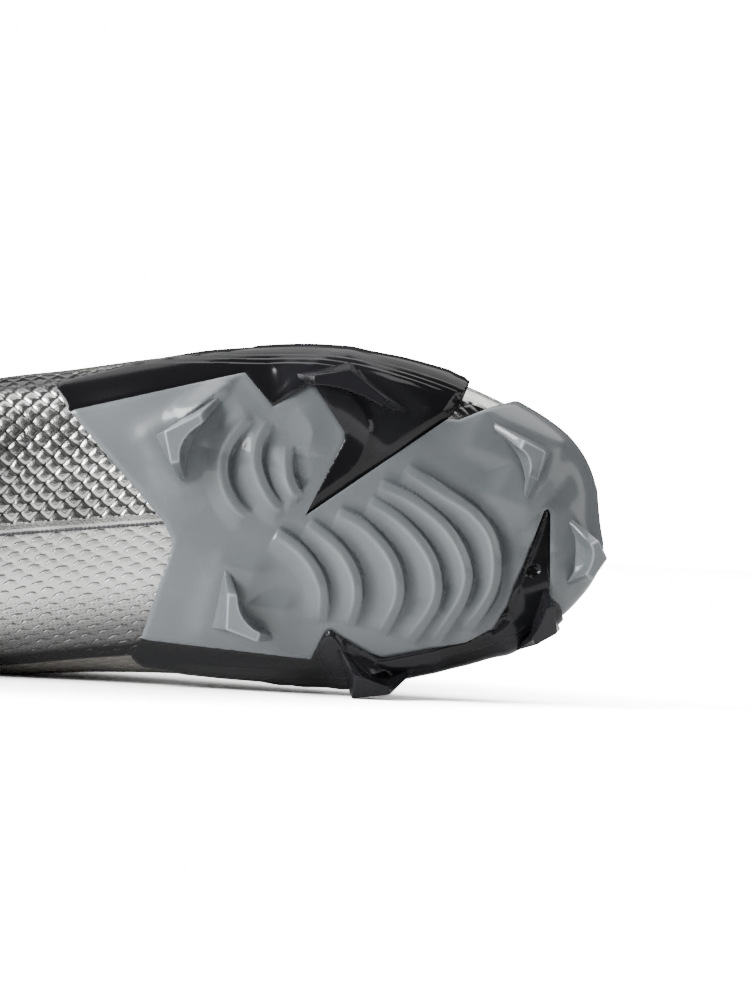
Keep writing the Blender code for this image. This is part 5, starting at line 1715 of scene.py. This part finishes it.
def sew(mesh, places, way, side, length):
    """A row of stitches along an eyestay, as small rounded bars."""
    line = []
    for place in places[3:-3]:
        low, high = widest_share(place), edge_share(float(place))
        share = side * (low + (high - low) * way)
        line.append(surface([place], [[share]], CLEARANCE + EYESTAY - 0.08 * MM)[0, 0])
    line = np.array(line)
    run = np.concatenate([[0.0], np.cumsum(np.linalg.norm(np.diff(line, axis=0), axis=1))])
    count = int(run[-1] / (1.35 * length))
    for k in range(count):
        at = (k + 0.5) * 1.35 * length
        start = Vector([np.interp(at - length / 2, run, line[:, axis]) for axis in range(3)])
        stop = Vector([np.interp(at + length / 2, run, line[:, axis]) for axis in range(3)])
        turn = (stop - start).to_track_quat("X", "Z").to_matrix().to_4x4()
        size = Matrix.Diagonal((length / 2, 0.28 * MM, 0.28 * MM, 1.0))
        bmesh.ops.create_uvsphere(
            mesh,
            u_segments=6,
            v_segments=5,
            radius=1.0,
            matrix=LYING @ Matrix.Translation((start + stop) / 2) @ turn @ size,
        )


def strand(start, end, over, material):
    """A flat lace between two eyelets: up through the hole, over eyestay and tongue, and down."""
    base = CLEARANCE + EYESTAY + LACE_CLEARANCE + 0.5 * LACE_THICKNESS
    begin, finish = (
        np.array((along_of(place), math.copysign((1 - abs(share)) * section(place)[4], share)))
        for place, share in (start, end)
    )
    heights = smooth_curve(
        [
            (0.0, -3.4 * MM),
            (0.0, -1.4 * MM),
            (0.005, 0.6 * MM),
            (0.05, base - 0.2 * MM),
            (0.14, base),
            (0.5, base + over),
            (0.86, base),
            (0.95, base - 0.2 * MM),
            (0.995, 0.6 * MM),
            (1.0, -1.4 * MM),
            (1.0, -3.4 * MM),
        ],
        7,
    )
    run = (finish - begin) / np.linalg.norm(finish - begin)
    wide = np.array((-run[1], run[0]))
    centres, sides = [], []
    for f, out in heights:
        spread_out = []
        for shift in (0.0, 1.0 * MM, -1.0 * MM):
            at = begin + (finish - begin) * f + wide * shift
            place = round(place_at(at[0]), 7)
            share = math.copysign(1 - abs(at[1]) / section(place)[4], at[1])
            spread_out.append(spot(place, share, out))
        centres.append(spread_out[0])
        sides.append(spread_out[1] - spread_out[2])

    def flat_oval(f):
        narrow = 1 - 0.38 * max(0.0, 1 - min(f, 1 - f) / 0.3)
        return oval(LACE_WIDTH * narrow, LACE_THICKNESS / narrow, 14, 3.0)

    return sweep("strand", centres, sides, flat_oval, [material])


class CLEAT_OT_stage(bpy.types.Operator):
    """Make the floor, the soft light and the camera"""

    bl_idname = "cleat.stage"
    bl_label = "Stage"

    def execute(self, context):
        stage = context.scene.cleat_stage
        camera_data = bpy.data.cameras.new("view")
        camera_data.lens = 250
        camera_data.sensor_fit = "AUTO"
        camera_data.sensor_width = 36
        camera = bpy.data.objects.new("view", camera_data)
        context.scene.collection.objects.link(camera)
        right = Vector((0.99880, -0.00185, 0.04891))
        up = Vector((-0.04885, 0.02518, 0.99849))
        back = Vector((-0.00308, -0.99968, 0.02506))
        turn = Matrix((right, up, back)).transposed().to_4x4()
        target = Vector((0.07645, -0.04963, 0.05971))
        distance = 2.083
        camera.matrix_world = Matrix.Translation(target + back * distance) @ turn
        context.scene.camera = camera

        mesh = bmesh.new()
        bmesh.ops.create_grid(mesh, x_segments=1, y_segments=1, size=1.3)
        floor = object_of("floor", mesh, [paper(stage.floor, stage.paper_seen)])

        def softbox(name, power, size, location, aim):
            data = bpy.data.lights.new(name, "AREA")
            data.shape = "RECTANGLE"
            data.size, data.size_y = size
            data.energy = power
            lamp = bpy.data.objects.new(name, data)
            lamp.location = location
            lamp.rotation_euler = (Vector(aim) - Vector(location)).to_track_quat("-Z", "Y").to_euler()
            context.scene.collection.objects.link(lamp)

        middle = (0.05, 0.0, 0.06)
        softbox("key", stage.key, (1.1, 1.1), (-1.5, -0.62, 0.95), middle)
        softbox("overhead", stage.overhead, (2.4, 1.2), (0.1, 0.35, 1.35), middle)
        softbox("fill", stage.fill, (0.5, 0.8), (1.3, -0.6, 0.5), middle)

        world = bpy.data.worlds.new("studio")
        context.scene.world = world
        world.use_nodes = True
        nodes, links = world.node_tree.nodes, world.node_tree.links
        nodes.clear()
        output = nodes.new("ShaderNodeOutputWorld")
        mix = nodes.new("ShaderNodeMixShader")
        seen = nodes.new("ShaderNodeBackground")
        seen.inputs["Color"].default_value = (1, 1, 1, 1)
        seen.inputs["Strength"].default_value = 20.0
        cast = nodes.new("ShaderNodeBackground")
        cast.inputs["Color"].default_value = (0.14, 0.14, 0.14, 1)
        path = nodes.new("ShaderNodeLightPath")
        links.new(path.outputs["Is Camera Ray"], mix.inputs["Fac"])
        links.new(cast.outputs["Background"], mix.inputs[1])
        links.new(seen.outputs["Background"], mix.inputs[2])
        links.new(mix.outputs["Shader"], output.inputs["Surface"])
        return {"FINISHED"}


def paper(brightness, seen):
    """White paper that the camera sees overexposed, as in a cut-out product picture, and darker near the shoe
    as a painted shadow.
    """
    material = bpy.data.materials.new("paper")
    material.use_nodes = True
    nodes, links = material.node_tree.nodes, material.node_tree.links
    nodes.clear()
    output = nodes.new("ShaderNodeOutputMaterial")
    mix = nodes.new("ShaderNodeMixShader")
    path = nodes.new("ShaderNodeLightPath")
    links.new(path.outputs["Is Camera Ray"], mix.inputs["Fac"])
    tree = material.node_tree
    away = nodes.new("ShaderNodeVectorMath")
    away.operation = "LENGTH"
    heelwards = nodes.new("ShaderNodeMapping")
    heelwards.inputs["Location"].default_value = (0.03, 0.0, 0.0)
    links.new(object_vector(tree), heelwards.inputs["Vector"])
    links.new(heelwards.outputs["Vector"], away.inputs[0])
    # Painted shadow: round a point 3 cm to the heel's side of the middle, the camera sees the paper at a
    # fifth of its brightness, fading to full from 6 to 26 cm away.
    far = ramped(tree, away.outputs["Value"], 0.06, 0.26)
    for socket, value, near in ((mix.inputs[1], brightness, 1.0), (mix.inputs[2], brightness * seen, 0.2)):
        diffuse = nodes.new("ShaderNodeBsdfDiffuse")
        links.new(mixed(tree, far, 3 * (near * value,), 3 * (value,)), diffuse.inputs["Color"])
        links.new(diffuse.outputs["BSDF"], socket)
    links.new(mix.outputs["Shader"], output.inputs["Surface"])
    return material


OPERATORS = (
    CLEAT_OT_upper,
    CLEAT_OT_plate,
    CLEAT_OT_frames,
    CLEAT_OT_heel,
    CLEAT_OT_insides,
    CLEAT_OT_lacing,
    CLEAT_OT_stage,
)


class CLEAT_PT_panel(bpy.types.Panel):
    """Lists the steps, sizes and colours"""

    bl_idname = "CLEAT_PT_panel"
    bl_label = "Football cleat"
    bl_space_type = "VIEW_3D"
    bl_region_type = "UI"
    bl_category = "Cleat"

    def draw(self, context):
        for settings in (context.scene.cleat_sizes, context.scene.cleat_colours, context.scene.cleat_stage):
            for name in settings.bl_rna.properties.keys():
                if name not in ("rna_type", "name"):
                    self.layout.prop(settings, name)
        for item in OPERATORS:
            self.layout.operator(item.bl_idname)


CLASSES = (CleatSizes, CleatColours, CleatStage, *OPERATORS, CLEAT_PT_panel)


def register():
    for item in CLASSES:
        bpy.utils.register_class(item)
    bpy.types.Scene.cleat_sizes = PointerProperty(type=CleatSizes)
    bpy.types.Scene.cleat_colours = PointerProperty(type=CleatColours)
    bpy.types.Scene.cleat_stage = PointerProperty(type=CleatStage)


def unregister():
    del bpy.types.Scene.cleat_sizes
    del bpy.types.Scene.cleat_colours
    del bpy.types.Scene.cleat_stage
    for item in reversed(CLASSES):
        bpy.utils.unregister_class(item)


def main():
    register()
    bpy.ops.cleat.upper()
    bpy.ops.cleat.plate()
    bpy.ops.cleat.frames()
    bpy.ops.cleat.heel()
    bpy.ops.cleat.insides()
    bpy.ops.cleat.lacing()
    bpy.ops.cleat.stage()


if __name__ == "__main__":
    main()
